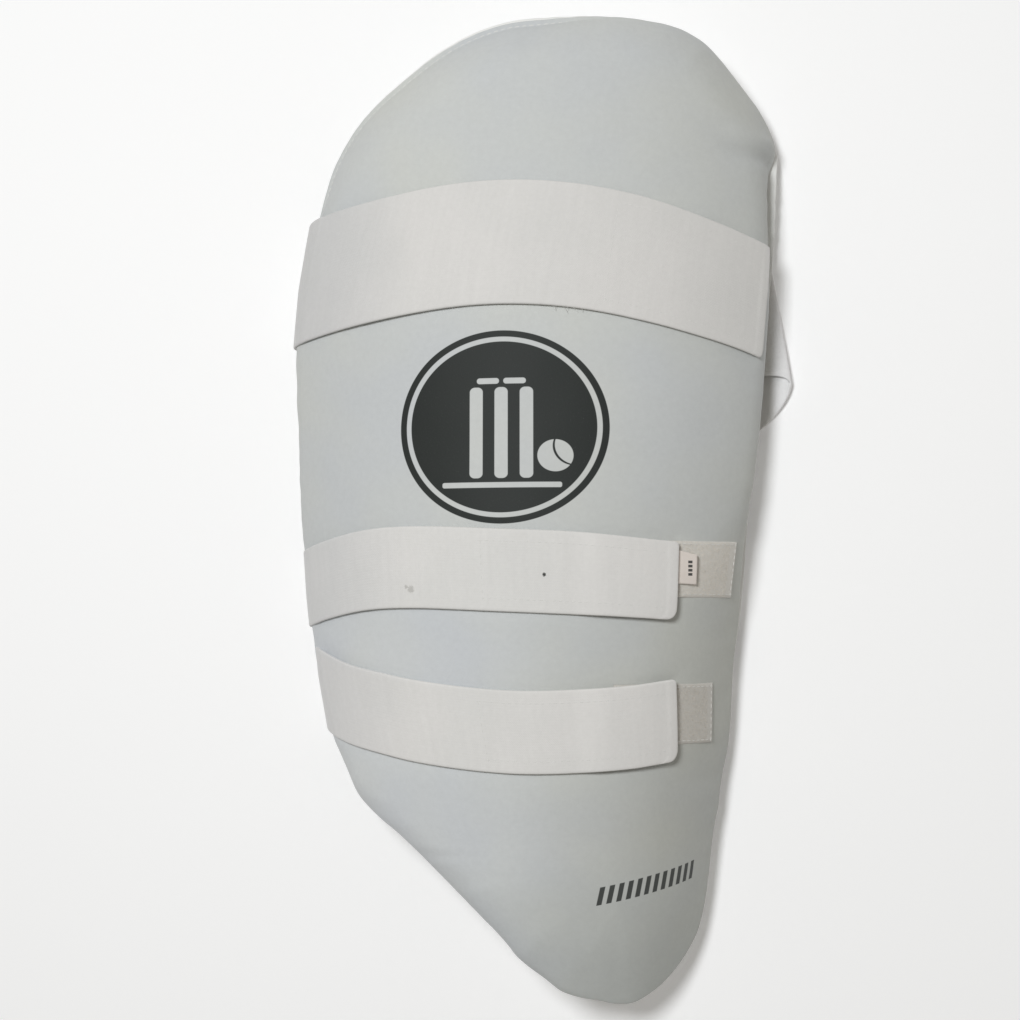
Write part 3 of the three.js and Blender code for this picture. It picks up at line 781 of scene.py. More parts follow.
def stitch_tree():
    """Stitches along the edges of a mesh: pitch, run, thread, seed and material are inputs."""
    tree, inp = new_tree("stitch_run", ("Pitch", "Run", "Thread"))
    n, link = tree.nodes, tree.links.new
    curve = n.new("GeometryNodeMeshToCurve")
    again = n.new("GeometryNodeResampleCurve")
    again.mode = "LENGTH"
    ball = n.new("GeometryNodeMeshIcoSphere")
    ball.inputs["Radius"].default_value = 0.5
    ball.inputs["Subdivisions"].default_value = 2
    size = n.new("ShaderNodeCombineXYZ")
    shape = n.new("GeometryNodeTransform")
    tangent = n.new("GeometryNodeInputTangent")
    turn = n.new("FunctionNodeAlignRotationToVector")
    turn.axis = "X"
    jitter = n.new("FunctionNodeRandomValue")
    jitter.data_type = "FLOAT"
    jitter.inputs[2].default_value = 0.86
    jitter.inputs[3].default_value = 1.1
    place = n.new("GeometryNodeInstanceOnPoints")
    soft = n.new("GeometryNodeSetShadeSmooth")
    link(inp.outputs["Geometry"], curve.inputs[0])
    link(curve.outputs[0], again.inputs["Curve"])
    link(inp.outputs["Pitch"], again.inputs["Length"])
    link(inp.outputs["Run"], size.inputs[0])
    link(inp.outputs["Thread"], size.inputs[1])
    link(inp.outputs["Thread"], size.inputs[2])
    link(ball.outputs["Mesh"], shape.inputs["Geometry"])
    link(size.outputs[0], shape.inputs["Scale"])
    link(tangent.outputs[0], turn.inputs["Vector"])
    link(inp.outputs["Seed"], jitter.inputs["Seed"])
    link(again.outputs[0], place.inputs["Points"])
    link(shape.outputs[0], place.inputs["Instance"])
    link(turn.outputs[0], place.inputs["Rotation"])
    link(jitter.outputs[1], place.inputs["Scale"])
    link(place.outputs[0], soft.inputs[0])
    return end_tree(tree, inp, soft.outputs[0])


def pile_tree():
    """Short tilted hairs all over a mesh: density, height, thickness, material and seed are inputs."""
    tree, inp = new_tree("loop_pile", ("Density", "Height", "Thickness"))
    n, link = tree.nodes, tree.links.new
    spread = n.new("GeometryNodeDistributePointsOnFaces")
    hair = n.new("GeometryNodeMeshCone")
    hair.inputs["Vertices"].default_value = 3
    hair.inputs["Radius Top"].default_value = 0.25
    hair.inputs["Radius Bottom"].default_value = 0.5
    hair.inputs["Depth"].default_value = 1.0
    size = n.new("ShaderNodeCombineXYZ")
    shape = n.new("GeometryNodeTransform")
    tilt = n.new("FunctionNodeRandomValue")
    tilt.data_type = "FLOAT_VECTOR"
    tilt.inputs[0].default_value = (-1.25, -1.25, -3.1)
    tilt.inputs[1].default_value = (1.25, 1.25, 3.1)
    turn = n.new("FunctionNodeRotateRotation")
    turn.rotation_space = "LOCAL"
    euler = n.new("FunctionNodeEulerToRotation")
    place = n.new("GeometryNodeInstanceOnPoints")
    link(inp.outputs["Geometry"], spread.inputs["Mesh"])
    link(inp.outputs["Density"], spread.inputs["Density"])
    link(inp.outputs["Seed"], spread.inputs["Seed"])
    link(inp.outputs["Thickness"], size.inputs[0])
    link(inp.outputs["Thickness"], size.inputs[1])
    link(inp.outputs["Height"], size.inputs[2])
    link(hair.outputs["Mesh"], shape.inputs["Geometry"])
    link(size.outputs[0], shape.inputs["Scale"])
    link(inp.outputs["Seed"], tilt.inputs["Seed"])
    link(tilt.outputs[0], euler.inputs[0])
    link(spread.outputs["Rotation"], turn.inputs[0])
    link(euler.outputs[0], turn.inputs[1])
    link(spread.outputs["Points"], place.inputs["Points"])
    link(shape.outputs[0], place.inputs["Instance"])
    link(turn.outputs[0], place.inputs["Rotation"])
    return end_tree(tree, inp, place.outputs[0])


def grown(name, source, tree, values):
    """The evaluated result of a node tree on a mesh, as a plain object."""
    obj = bpy.data.objects.new(name, source)
    bpy.context.scene.collection.objects.link(obj)
    mod = obj.modifiers.new("grow", "NODES")
    mod.node_group = tree
    for item in tree.interface.items_tree:
        if item.item_type == "SOCKET" and item.in_out == "INPUT" and item.name in values:
            mod[item.identifier] = values[item.name]
    graph = bpy.context.evaluated_depsgraph_get()
    mesh = bpy.data.meshes.new_from_object(obj.evaluated_get(graph))
    obj.modifiers.remove(mod)
    obj.data = mesh
    mesh.name = name
    if not mesh.polygons:
        raise RuntimeError(name + " came out empty")
    return obj


def stitch_object(name, lines, sizes, scale=1.0):
    """Stitches along lists of points, as one object."""
    mesh = bpy.data.meshes.new(name)
    points, edges = [], []
    for line in lines:
        start = len(points)
        points += [tuple(p) for p in line]
        edges += [(start + i, start + i + 1) for i in range(len(line) - 1)]
    mesh.from_pydata(points, edges, [])
    tree = bpy.data.node_groups.get("stitch_run") or stitch_tree()
    values = {
        "Pitch": sizes.pitch * scale,
        "Run": sizes.run * scale,
        "Thread": sizes.thread,
        "Seed": sizes.seed,
        "Material": thread_material(),
    }
    obj = grown(name, mesh, tree, values)
    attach(obj, "root")


# Materials


def linear(rgb):
    """sRGB bytes as a linear colour."""
    out = []
    for c in rgb:
        c /= 255
        out.append(c / 12.92 if c <= 0.04045 else ((c + 0.055) / 1.055) ** 2.4)
    return (*out, 1.0)


class Paint:
    """Short calls for building a material's nodes."""

    def __init__(self, name):
        self.material = bpy.data.materials.new(name)
        self.material.use_nodes = True
        self.tree = self.material.node_tree
        self.shader = self.tree.nodes["Principled BSDF"]

    def node(self, kind, inputs=(), **settings):
        """A new node with its inputs fed and its settings set."""
        node = self.tree.nodes.new(kind)
        for key, value in settings.items():
            setattr(node, key, value)
        for key, value in dict(inputs).items():
            self.feed(node.inputs[key], value)
        return node

    def feed(self, socket, value):
        """Links a socket to an input, or sets the input's value."""
        if isinstance(value, bpy.types.NodeSocket):
            self.tree.links.new(value, socket)
        else:
            socket.default_value = value

    def math(self, operation, a, b=0.0, c=None, clamp=False):
        values = {0: a, 1: b} if c is None else {0: a, 1: b, 2: c}
        return self.node("ShaderNodeMath", values, operation=operation, use_clamp=clamp).outputs[0]

    def noise(self, vector, scale, detail=3.0, rough=0.55):
        inputs = {"Vector": vector, "Scale": scale, "Detail": detail, "Roughness": rough}
        return self.node("ShaderNodeTexNoise", inputs).outputs[0]

    def ramp(self, value, low, high, to_low=0.0, to_high=1.0):
        """A value brought from one range to another, and kept within it."""
        return self.node("ShaderNodeMapRange", {0: value, 1: low, 2: high, 3: to_low, 4: to_high}).outputs[0]

    def blend(self, factor, a, b, mode="MIX"):
        node = self.tree.nodes.new("ShaderNodeMix")
        node.data_type = "RGBA"
        node.blend_type = mode
        self.feed(node.inputs[0], factor)
        self.feed(node.inputs[6], a)
        self.feed(node.inputs[7], b)
        return node.outputs[2]

    def times(self, colour, factor):
        """A colour multiplied by another one."""
        return self.blend(1.0, colour, factor, "MULTIPLY")

    def shaded(self, colour, shade):
        """A colour multiplied by a grey value."""
        grey = self.node("ShaderNodeCombineColor", {0: shade, 1: shade, 2: shade})
        return self.times(colour, grey.outputs[0])

    def tinted(self, colour, mask, tint):
        """A colour multiplied by a tint where the mask is 1, used for painted light and painted shade."""
        return self.blend(mask, colour, self.times(colour, (*tint, 1.0)))

    def flat(self):
        """The two coordinates of the flat cloth, in metres."""
        uv = self.node("ShaderNodeUVMap", uv_map="flat").outputs[0]
        parts = self.node("ShaderNodeSeparateXYZ", {0: uv})
        return parts.outputs[0], parts.outputs[1]

    def place(self):
        return self.node("ShaderNodeTexCoord").outputs["Object"]

    def weave(self, u, v, pitch_u, pitch_v):
        """Threads over and under each other, from 0 to 1."""
        a = self.math("SINE", self.math("MULTIPLY", u, 2 * math.pi / pitch_u))
        b = self.math("SINE", self.math("MULTIPLY", v, 2 * math.pi / pitch_v))
        return self.math("MULTIPLY_ADD", self.math("MULTIPLY", a, b), 0.5, 0.5)

    def finish(self, colour, height, strength, distance, roughness, sheen):
        """Feeds the shader and gives the finished material."""
        bump = self.node("ShaderNodeBump", {"Height": height, "Strength": strength, "Distance": distance})
        self.feed(self.shader.inputs["Base Color"], colour)
        self.feed(self.shader.inputs["Normal"], bump.outputs[0])
        self.feed(self.shader.inputs["Roughness"], roughness)
        self.shader.inputs["Sheen Weight"].default_value = sheen
        self.shader.inputs["Sheen Roughness"].default_value = 0.5
        self.shader.inputs["Specular IOR Level"].default_value = 0.25
        return self.material


class Prints(Paint):
    """Masks of flat printed shapes, in metres on the flat cloth."""

    soft = 0.00012

    def within(self, x, y, r):
        """1 where a place lies nearer to the origin than r, with a soft edge."""
        d = self.math("SQRT", self.math("ADD", self.math("MULTIPLY", x, x), self.math("MULTIPLY", y, y)))
        return self.ramp(d, r - self.soft, r + self.soft, 1.0, 0.0)

    def past(self, value, centre, half):
        """How far a coordinate lies past a half width on either side of a centre."""
        off = self.math("ABSOLUTE", self.math("SUBTRACT", value, centre))
        return self.math("MAXIMUM", self.math("SUBTRACT", off, half), 0.0)

    def disc(self, u, v, cx, cy, r):
        return self.within(self.math("SUBTRACT", u, cx), self.math("SUBTRACT", v, cy), r)

    def bar(self, u, v, cx, cy, half_x, half_y, r):
        """A bar with rounded corners."""
        return self.within(self.past(u, cx, half_x - r), self.past(v, cy, half_y - r), r)

    def both(self, a, b):
        return self.math("MULTIPLY", a, b)

    def either(self, a, b):
        return self.math("MAXIMUM", a, b)

    def without(self, a, b):
        return self.math("MULTIPLY", a, self.math("SUBTRACT", 1.0, b))


# The round emblem: its centre and radius in metres, then its parts in shares of the radius. The ring
# lies between two of the discs. A bar has its centre, half width, half height and corner radius.
EMBLEM = {"across": -0.0012, "along": 0.032, "radius": 0.0398, "ring": 0.935, "disc": 0.885}
EMBLEM_BARS = [
    (-0.235, -0.06, 0.062, 0.47, 0.05),
    (0.0, -0.06, 0.062, 0.47, 0.05),
    (0.235, -0.06, 0.062, 0.47, 0.05),
    (-0.125, 0.475, 0.105, 0.03, 0.028),
    (0.125, 0.475, 0.105, 0.03, 0.028),
    (0.0, -0.6, 0.56, 0.028, 0.02),
]
BALL, SEAM_INNER, SEAM_OUTER = (0.5, -0.3, 0.165), (0.68, -0.2, 0.205), (0.7, -0.19, 0.205)

# The row of slanted dashes: its left end, length and height in metres, how steeply it rises, how much
# a dash leans and how many dashes the length would hold.
DASHES = {"across": 0.0305, "along": -0.1641, "length": 0.0425, "height": 0.0073}
DASH_RISE, DASH_LEAN, DASH_COUNT = 0.207, 0.2, 11.8


def emblem_print(p, u, v):
    """A ring and a disc, less three stumps with their bails, a line of ground and a ball."""
    cx, cy, r = EMBLEM["across"], EMBLEM["along"], EMBLEM["radius"]

    def disc(share):
        return p.disc(u, v, cx, cy, r * share)

    def small_disc(x, y, size):
        return p.disc(u, v, cx + r * x, cy + r * y, r * size)

    dark = p.either(p.without(disc(1.0), disc(EMBLEM["ring"])), disc(EMBLEM["disc"]))
    seam = p.without(small_disc(*SEAM_INNER), small_disc(*SEAM_OUTER))
    light = p.without(small_disc(*BALL), seam)
    for x, y, half_x, half_y, corner in EMBLEM_BARS:
        light = p.either(light, p.bar(u, v, cx + r * x, cy + r * y, r * half_x, r * half_y, r * corner))
    return p.without(dark, light)


def dash_print(p, u, v):
    """The row of slanted dashes."""
    half_length, half_height = DASHES["length"] / 2, DASHES["height"] / 2
    off = p.math("SUBTRACT", u, DASHES["across"])
    rise = p.math("MULTIPLY", off, DASH_RISE)
    row_v = p.math("SUBTRACT", p.math("SUBTRACT", v, DASHES["along"]), rise)
    row_u = p.math("SUBTRACT", off, p.math("MULTIPLY", row_v, DASH_LEAN))
    cell = p.math("FRACT", p.math("DIVIDE", row_u, DASHES["length"] / DASH_COUNT))
    dash = p.ramp(p.math("ABSOLUTE", p.math("SUBTRACT", cell, 0.5)), 0.24, 0.3, 1.0, 0.0)
    return p.both(dash, p.bar(row_u, row_v, half_length, half_height, half_length, half_height, 0.0001))


def cover_material():
    """Coated cotton with fine weave, mottling, painted shade with some yellowing at the lower right, painted
    shade at the knee end, painted light at the lower left, and the prints.
    """
    p = Prints("cover_cloth")
    u, v = p.flat()
    obj = p.place()
    broad = p.ramp(p.noise(obj, 14.0, 2.0), 0.35, 0.65)
    cloth = p.blend(broad, linear((202, 205, 206)), linear((207, 209, 205)))
    fine = p.ramp(p.noise(obj, 420.0, 4.0, 0.7), 0.3, 0.7, 0.965, 1.018)
    cloth = p.shaded(cloth, fine)
    # Painted shade with some yellowing: darker and yellower towards the lower right and along the right side,
    # where the cover turns from the light.
    shade_and_yellowing = p.math("MULTIPLY", p.ramp(u, 0.0, 0.06), p.ramp(v, 0.05, -0.13))
    shade_and_yellowing = p.math("MULTIPLY_ADD", p.math("MULTIPLY", p.ramp(u, 0.05, 0.1), 0.4), 1.0, shade_and_yellowing, clamp=True)
    cloth = p.tinted(cloth, shade_and_yellowing, (0.82, 0.815, 0.79))
    # Painted shade: darker and a little bluer towards the knee end, where the cover curves away from the
    # light.
    cloth = p.tinted(cloth, p.ramp(v, -0.14, -0.19), (0.93, 0.945, 0.97))
    # Painted light: lighter and a little bluer on the left of the lower half.
    painted_light_left = p.math("MULTIPLY", p.ramp(u, 0.02, -0.05), p.ramp(v, -0.02, -0.06))
    cloth = p.tinted(cloth, painted_light_left, (1.06, 1.065, 1.1))
    worn = p.ramp(p.noise(obj, 2600.0, 2.0, 0.6), 0.25, 0.36, 0.95, 1.0)
    ink = p.both(p.either(emblem_print(p, u, v), dash_print(p, u, v)), worn)
    colour = p.blend(ink, cloth, linear((40, 44, 42)))
    weave = p.weave(u, v, 0.00052, 0.00052)
    grain = p.noise(obj, 900.0, 3.0)
    height = p.math("MULTIPLY_ADD", grain, 0.8, p.math("MULTIPLY", weave, 0.5))
    rough = p.ramp(ink, 0.0, 1.0, 0.82, 0.6)
    return p.finish(colour, height, 0.34, 0.00012, rough, 0.12)


def lining_material():
    """Plain woven cloth of the hollow side."""
    p = Paint("lining_weave")
    u, v = p.flat()
    obj = p.place()
    broad = p.ramp(p.noise(obj, 18.0, 2.0), 0.35, 0.65)
    cloth = p.blend(broad, linear((236, 237, 234)), linear((241, 241, 238)))
    weave = p.weave(u, v, 0.0011, 0.0011)
    shade = p.ramp(weave, 0.0, 1.0, 0.95, 1.02)
    cloth = p.shaded(cloth, shade)
    height = p.math("MULTIPLY_ADD", p.noise(obj, 700.0), 0.4, weave)
    return p.finish(cloth, height, 0.4, 0.00025, 0.9, 0.2)


def strap_material(name, tone=1.0, spots=()):
    """Elastic webbing: ribs along, picks across, painted shade at the left, painted light in the fold, with
    any marks.
    """
    p = Paint(name)
    u, v = p.flat()
    obj = p.place()
    broad = p.ramp(p.noise(obj, 16.0, 2.0), 0.35, 0.65)
    cloth = p.blend(broad, linear((223, 222, 219)), linear((228, 226, 223)))
    fine = p.ramp(p.noise(obj, 520.0, 4.0, 0.7), 0.3, 0.7, 0.97, 1.015)
    cloth = p.shaded(cloth, fine)
    side = p.node("ShaderNodeSeparateXYZ", {0: obj}).outputs[0]
    cloth = p.times(cloth, (tone, tone, tone, 1.0))
    # Painted light: lighter and bluer right of the guard, on the waist strap's fold, which lies partly in the
    # guard's shade.
    cloth = p.tinted(cloth, p.ramp(side, 0.1, 0.103), (1.2, 1.21, 1.25))
    # Painted shade: greyer and a little bluer where the straps wrap round the left edge.
    cloth = p.tinted(cloth, p.ramp(side, -0.045, -0.085), (0.9, 0.91, 0.93))
    for centre, radius, colour, amount in spots:
        ends = {0: obj, 1: tuple(centre)}
        far = p.node("ShaderNodeVectorMath", ends, operation="DISTANCE").outputs["Value"]
        nearer = p.math("SUBTRACT", far, radius * 0.6)
        rough = p.math("MULTIPLY_ADD", p.noise(obj, 1800.0, 2.0), radius * 1.2, nearer)
        mask = p.math("MULTIPLY", p.ramp(rough, radius * 0.65, radius * 1.15, 1.0, 0.0), amount)
        cloth = p.blend(mask, cloth, linear(colour))
    drawn = p.node("ShaderNodeCombineXYZ", {0: u, 1: p.math("MULTIPLY", v, 0.08)}).outputs[0]
    shade = p.ramp(p.noise(drawn, 330.0, 2.0), 0.3, 0.7, 0.982, 1.012)
    cloth = p.shaded(cloth, shade)
    ribs = p.math("MULTIPLY_ADD", p.math("SINE", p.math("MULTIPLY", v, 2 * math.pi / 0.0011)), 0.5, 0.5)
    picks = p.weave(u, v, 0.0009, 0.0011)
    grain = p.math("MULTIPLY", p.noise(obj, 800.0), 0.8)
    height = p.math("ADD", p.math("MULTIPLY", ribs, 0.22), p.math("MULTIPLY_ADD", picks, 0.6, grain))
    return p.finish(cloth, height, 0.3, 0.0002, 0.88, 0.25)


def plain_cloth(name, low, high, scale, strength, distance):
    """A cloth or thread of two close colours with a fine grain."""
    p = Paint(name)
    obj = p.place()
    grain = p.noise(obj, scale, 4.0, 0.65)
    colour = p.blend(p.ramp(grain, 0.3, 0.7), linear(low), linear(high))
    return p.finish(colour, grain, strength, distance, 0.92, 0.3)


def label_material():
    """Smooth woven tape with a column of small printed blocks."""
    p = Prints("label_weave")
    u, v = p.flat()
    obj = p.place()
    tape = p.blend(p.noise(obj, 500.0), linear((224, 214, 205)), linear((232, 224, 217)))
    cell = p.math("FRACT", p.math("DIVIDE", v, 0.0017))
    block = p.ramp(p.math("ABSOLUTE", p.math("SUBTRACT", cell, 0.5)), 0.3, 0.36, 1.0, 0.0)
    inside = p.bar(u, v, 0.0052, 0.0068, 0.0008, 0.0034, 0.0001)
    colour = p.blend(p.both(block, inside), tape, linear((44, 46, 46)))
    weave = p.weave(u, v, 0.0004, 0.0004)
    return p.finish(colour, weave, 0.3, 0.0001, 0.6, 0.1)


def material(key, make):
    """The material of that name, made once."""
    return bpy.data.materials.get(key) or make()


THREAD = ("thread_white", (216, 216, 212), (228, 227, 224), 1500.0, 0.4, 0.0002)


def thread_material():
    return material(THREAD[0], lambda: plain_cloth(*THREAD))


# Pieces


def clear_of_straps(shell, ring):
    """How far flat places lie from the nearest strap, negative under one."""
    out = np.full(len(ring), 1.0)
    for name, strap in STRAPS.items():
        half = (shell.b.waist if name == "waist_strap" else shell.b.thigh) / 2
        rows = np.array(strap["front"]) * (shell.s.half_width, shell.s.length)
        line = spline(rows, False, 8)
        across = np.abs(ring[:, 1] - np.interp(ring[:, 0], line[:, 0], line[:, 1])) - half
        beyond = ring[:, 0] - np.mean(strap["end"]) * shell.s.half_width
        out = np.minimum(out, np.maximum(across, beyond))
    return out


def broad_relief(shell, ring):
    """Broad waves of the cover, which are lower where a strap presses it down."""
    places = np.column_stack([ring, np.zeros(len(ring))])
    waves = 0.0005 * bumps(places, 0.055, 1.0) + 0.00025 * bumps(places, 0.02, 2.0)
    bed = 1 - np.exp(-np.clip(clear_of_straps(shell, ring) - 0.0004, 0, 1) / 0.0028)
    return waves * (0.25 + 0.75 * bed) + 0.0006 * bed


def cover_relief(rings, ring, distance, shell):
    """Small unevenness of the cover: stitched dimples, short wrinkles, strap beds and broad waves."""
    stitch = shell.s.margin + bpy.context.scene.guard_stitches.hem_inset
    near = np.exp(-(((distance - stitch) / 0.0011) ** 2))
    opened = shell.open_hem(ring[:, 0], ring[:, 1])
    dimple = -0.0004 * opened * near * (0.75 + 0.25 * np.cos(rings.around * 2 * math.pi / 0.0031))
    puff = 0.0002 * opened * np.exp(-(((distance - stitch + 0.0015) / 0.0008) ** 2))
    along = np.column_stack([rings.around, distance * 0.25, np.zeros(len(ring))])
    reach = smooth((distance - stitch) / 0.003) * (1 - smooth((distance - 0.008) / 0.018))
    wrinkle = 0.00042 * reach * bumps(along, 0.0075, 5.0)
    deep = smooth((distance - 0.006) / 0.02)
    return dimple + puff + wrinkle + deep * broad_relief(shell, ring)


# Distances of the cover's rings from its rim, and which of them the coarse cloth uses.
HEM_STEPS = [0.7, 1.2, 1.7, 2.2, 2.7, 3.2, 3.7, 4.2, 4.7, 5.4]
HEM_STEPS = np.array(HEM_STEPS + [6.2, 7.2, 8.4, 9.8, 11.4, 13.2, 15.2, 17.4, 19.5]) * MM
COARSE_STEPS = [9, 12, 14, 16, 18]

# The swelling: fine rays for each coarse one, how much larger the cloth is simulated, frames, the
# most that it may rise, how far below the shell it starts, and what the way to the spine counts as.
SWELL = {"rays": 3, "scale": 20.0, "frames": 20, "cap": 0.0014, "start": 0.0003, "reach": 0.08}
CLOTH = {
    "quality": 5,
    "mass": 0.4,
    "tension_stiffness": 40,
    "compression_stiffness": 30,
    "shear_stiffness": 10,
    "bending_stiffness": 2.0,
    "air_damping": 3,
    "vertex_group_mass": "held",
    "pin_stiffness": 1.0,
    "use_pressure": True,
    "uniform_pressure_force": 4.0,
    "shrink_min": -0.012,
}


def swell(shell, fine):
    """Cloth blown up by pressure between its stitched hem and the straps: rise at each ray and station."""
    coarse = Rings(shell, *(n // SWELL["rays"] for n in fine.counts))
    distances = shell.s.margin + HEM_STEPS[COARSE_STEPS]
    flat = [coarse.at(d) for d in distances]
    shares = np.linspace(0, 1, 19)[1:]
    flat += [coarse.between(flat[-1], share) for share in shares]
    stations = np.concatenate([distances, distances[-1] + shares * SWELL["reach"]])
    grids, heights = [], []
    for ring in flat:
        height = shell.outer(ring[:, 0], ring[:, 1]) - SWELL["start"]
        grids.append(shell.lifted(ring, height))
        heights.append(shell.lifted(ring, height + MM) - grids[-1])
    count = len(coarse.row)
    i = np.arange(count)
    j = (i + 1) % count
    faces = []
    for k in range(len(flat) - 1):
        low, high = k * count, (k + 1) * count
        faces += list(zip(low + i, low + j, high + j, high + i))
    points = np.concatenate(grids)
    way = np.concatenate(heights) / MM
    obj = make_object("swelling", points * SWELL["scale"], faces)
    pins = obj.vertex_groups.new(name="held")
    under = np.concatenate([clear_of_straps(shell, ring) for ring in flat])
    held = np.clip(1 - (under + 0.002) / 0.004, 0, 1)
    held[: 2 * count] = 1.0
    held[-count:] = np.maximum(held[-count:], 0.3)
    for index, weight in enumerate(held):
        pins.add([index], float(weight), "REPLACE")
    cloth = obj.modifiers.new("cloth", "CLOTH")
    for key, value in CLOTH.items():
        setattr(cloth.settings, key, value)
    cloth.settings.effector_weights.gravity = 0.0
    cloth.collision_settings.use_collision = False
    cloth.point_cache.frame_start = 1
    cloth.point_cache.frame_end = SWELL["frames"]
    scene = bpy.context.scene
    for number in range(1, SWELL["frames"] + 1):
        scene.frame_set(number)
    graph = bpy.context.evaluated_depsgraph_get()
    moved = np.empty(len(points) * 3)
    obj.evaluated_get(graph).data.vertices.foreach_get("co", moved)
    scene.frame_set(1)
    bpy.data.objects.remove(obj)
    rise = ((moved.reshape(-1, 3) / SWELL["scale"] - points) * way).sum(-1)
    rise = np.clip(rise, -SWELL["start"], SWELL["cap"]).reshape(len(flat), count)
    return stations, rise


def swollen(stations, rise, fine, station):
    """The rise of the blown up cloth at one ring of the fine mesh."""
    rays = np.arange(len(fine.row)) / SWELL["rays"]
    low = rays.astype(int) % rise.shape[1]
    high = (low + 1) % rise.shape[1]
    part = rays - rays.astype(int)
    row = np.array([np.interp(station, stations, rise[:, c], left=0.0) for c in range(rise.shape[1])])
    return mix(row[low], row[high], part)


# Rays along each side, round the hip end and round the knee end.
FINE_RAYS = (210, 252, 168)


def build_pad(shell):
    """The padded cover and the stitches of its hem."""
    rings = Rings(shell, *FINE_RAYS)
    s = shell.s
    air = swell(shell, rings)
    edge = [(s.margin + a * MM, shell.base + s.hem * h) for a, h in ((0.0, 0.5), (0.08, 0.8), (0.3, 0.97))]
    upper, uv = [], []
    wave = rim_wave(rings, s.length)
    inset = shell.rim_sizes(rings.rim[:, 0], rings.rim[:, 1])[0]

    def add(stack, ring, height):
        stack.append(shell.lifted(ring, height))
        uv.append(ring)

    def ring_at(distance):
        out = wave * max(0.0, 1 - distance / 0.006) - inset * max(0.0, 1 - distance / INSET_REACH)
        return rings.at(distance) + rings.way * out[:, None]

    def add_cover(ring, distance, station):
        height = shell.outer(ring[:, 0], ring[:, 1], distance) + cover_relief(rings, ring, distance, shell)
        add(upper, ring, height + (swollen(*air, rings, station) if air else 0))

    for distance, height in edge:
        add(upper, ring_at(distance), height)
    for distance in s.margin + HEM_STEPS:
        ring = ring_at(distance)
        add_cover(ring, np.full(len(ring), distance), distance)
    last, reached = ring, distance
    for share in np.linspace(0, 1, 56)[1:-1]:
        ring = rings.between(last, share)
        add_cover(ring, shell.edge_distance(ring), reached + share * SWELL["reach"])
    spine = rings.spine
    add(upper, spine, shell.top + spine_rise(shell, rings, spine, air, reached))
    lower = []
    for distance in (s.margin, shell.hem_end, shell.shoulder_end):
        ring = ring_at(distance)
        add(lower, ring, shell.base)
    for share in (0.17, 0.34, 0.51, 0.68, 0.84):
        add(lower, rings.between(ring, share), shell.base)
    add(lower, spine, shell.base)
    obj = ring_object("pad_cover", upper, lower, rings, uv)
    dress(obj, "pad", material("cover_cloth", cover_material))
    sizes = bpy.context.scene.guard_stitches
    ring = rings.at(s.margin + sizes.hem_inset)
    ring = np.roll(ring, -int(shell.open_hem(ring[:, 0], ring[:, 1]).argmin()), axis=0)
    ring = ring[shell.open_hem(ring[:, 0], ring[:, 1]) > 0.3]
    line = shell.lifted(ring, shell.base + s.hem - 0.0003)
    stitch_object("stitches_hem", [line], sizes)


def spine_rise(shell, rings, spine, air, reached):
    """Relief of the spine row, which many rays share."""
    rise = broad_relief(shell, spine)
    if air:
        blown = swollen(*air, rings, reached + SWELL["reach"])
        rise = rise + np.array([blown[rings.row == r].mean() for r in range(len(spine))])
    return rise


def rim_wave(rings, length):
    """Small waves of the sewn rim, in and out, and a little more cloth at the upper right corner."""
    place = rings.line()
    ends = np.minimum(1, np.minimum(rings.around, rings.total - rings.around) / 0.02)
    along = rings.rim[:, 1] / length
    right = (rings.rim[:, 0] > 0) * 1.0
    corner = 0.0012 * right * np.exp(-(((along - 0.395) / 0.025) ** 2))
    return corner + ends * (0.0004 * bumps(place, 0.017, 4.0) + 0.0002 * bumps(place, 0.006, 9.0))


# Distances of the lining's rings from its rim in millimetres, with the share of its thickness.
LINING_STEPS = [(0.0, 0.5), (0.1, 0.82), (0.35, 0.98)]
LINING_STEPS += [(a, 1.0) for a in (0.8, 1.5, 2.2, 3.0, 3.8, 4.6, 5.6, 7.0, 21.0)]


def build_lining(shell):
    """The lining, whose bare rim curls up at the right, and the stitches on its hollow side."""
    rings = Rings(shell, *FINE_RAYS)
    s = shell.s
    t = s.lining
    wave = rim_wave(rings, s.length)
    ragged = 1 + 0.3 * bumps(rings.line(), 0.0045, 2.0)
    inset, curl = shell.rim_sizes(rings.rim[:, 0], rings.rim[:, 1])
    flare = curl * ragged
    rolled = (1 - shell.open_hem(rings.rim[:, 0], rings.rim[:, 1])) * (1 - smooth(curl / 0.0008))
    tuck = rolled * (0.0013 + np.where(rings.rim[:, 0] < 0, inset, 0))
    upper, lower, uv = [], [], []

    def add(stack, ring, height):
        stack.append(shell.lifted(ring, height))
        uv.append(ring)

    for stack, flip in ((upper, False), (lower, True)):
        for a, h in LINING_STEPS[1 if flip else 0 :]:
            out = (wave - 0.5 * flare) * max(0.0, 1 - a / 6) - tuck * max(0.0, 1 - a / 12)
            raised = flare * max(0.0, 1 - a / 5.6)
            ring = rings.at(a * MM) + rings.way * out[:, None]
            add(stack, ring, t * (1 - h if flip else h) + raised)
        for share in (0.1, 0.2, 0.3, 0.4, 0.5, 0.6, 0.7, 0.8, 0.9):
            add(stack, rings.between(ring, share), 0.0 if flip else t)
        add(stack, rings.spine, 0.0 if flip else t)
    obj = ring_object("lining_cloth", upper, lower, rings, uv)
    dress(obj, "lining", material("lining_weave", lining_material))
    a, b = shell.loop, np.roll(shell.loop, -1, axis=0)
    sizes = bpy.context.scene.guard_stitches
    ring = rings.at(s.margin + sizes.hem_inset)
    line = shell.lifted(ring, -0.00005)
    stitch_object("stitches_under", [np.vstack([line, line[:1]])], sizes)


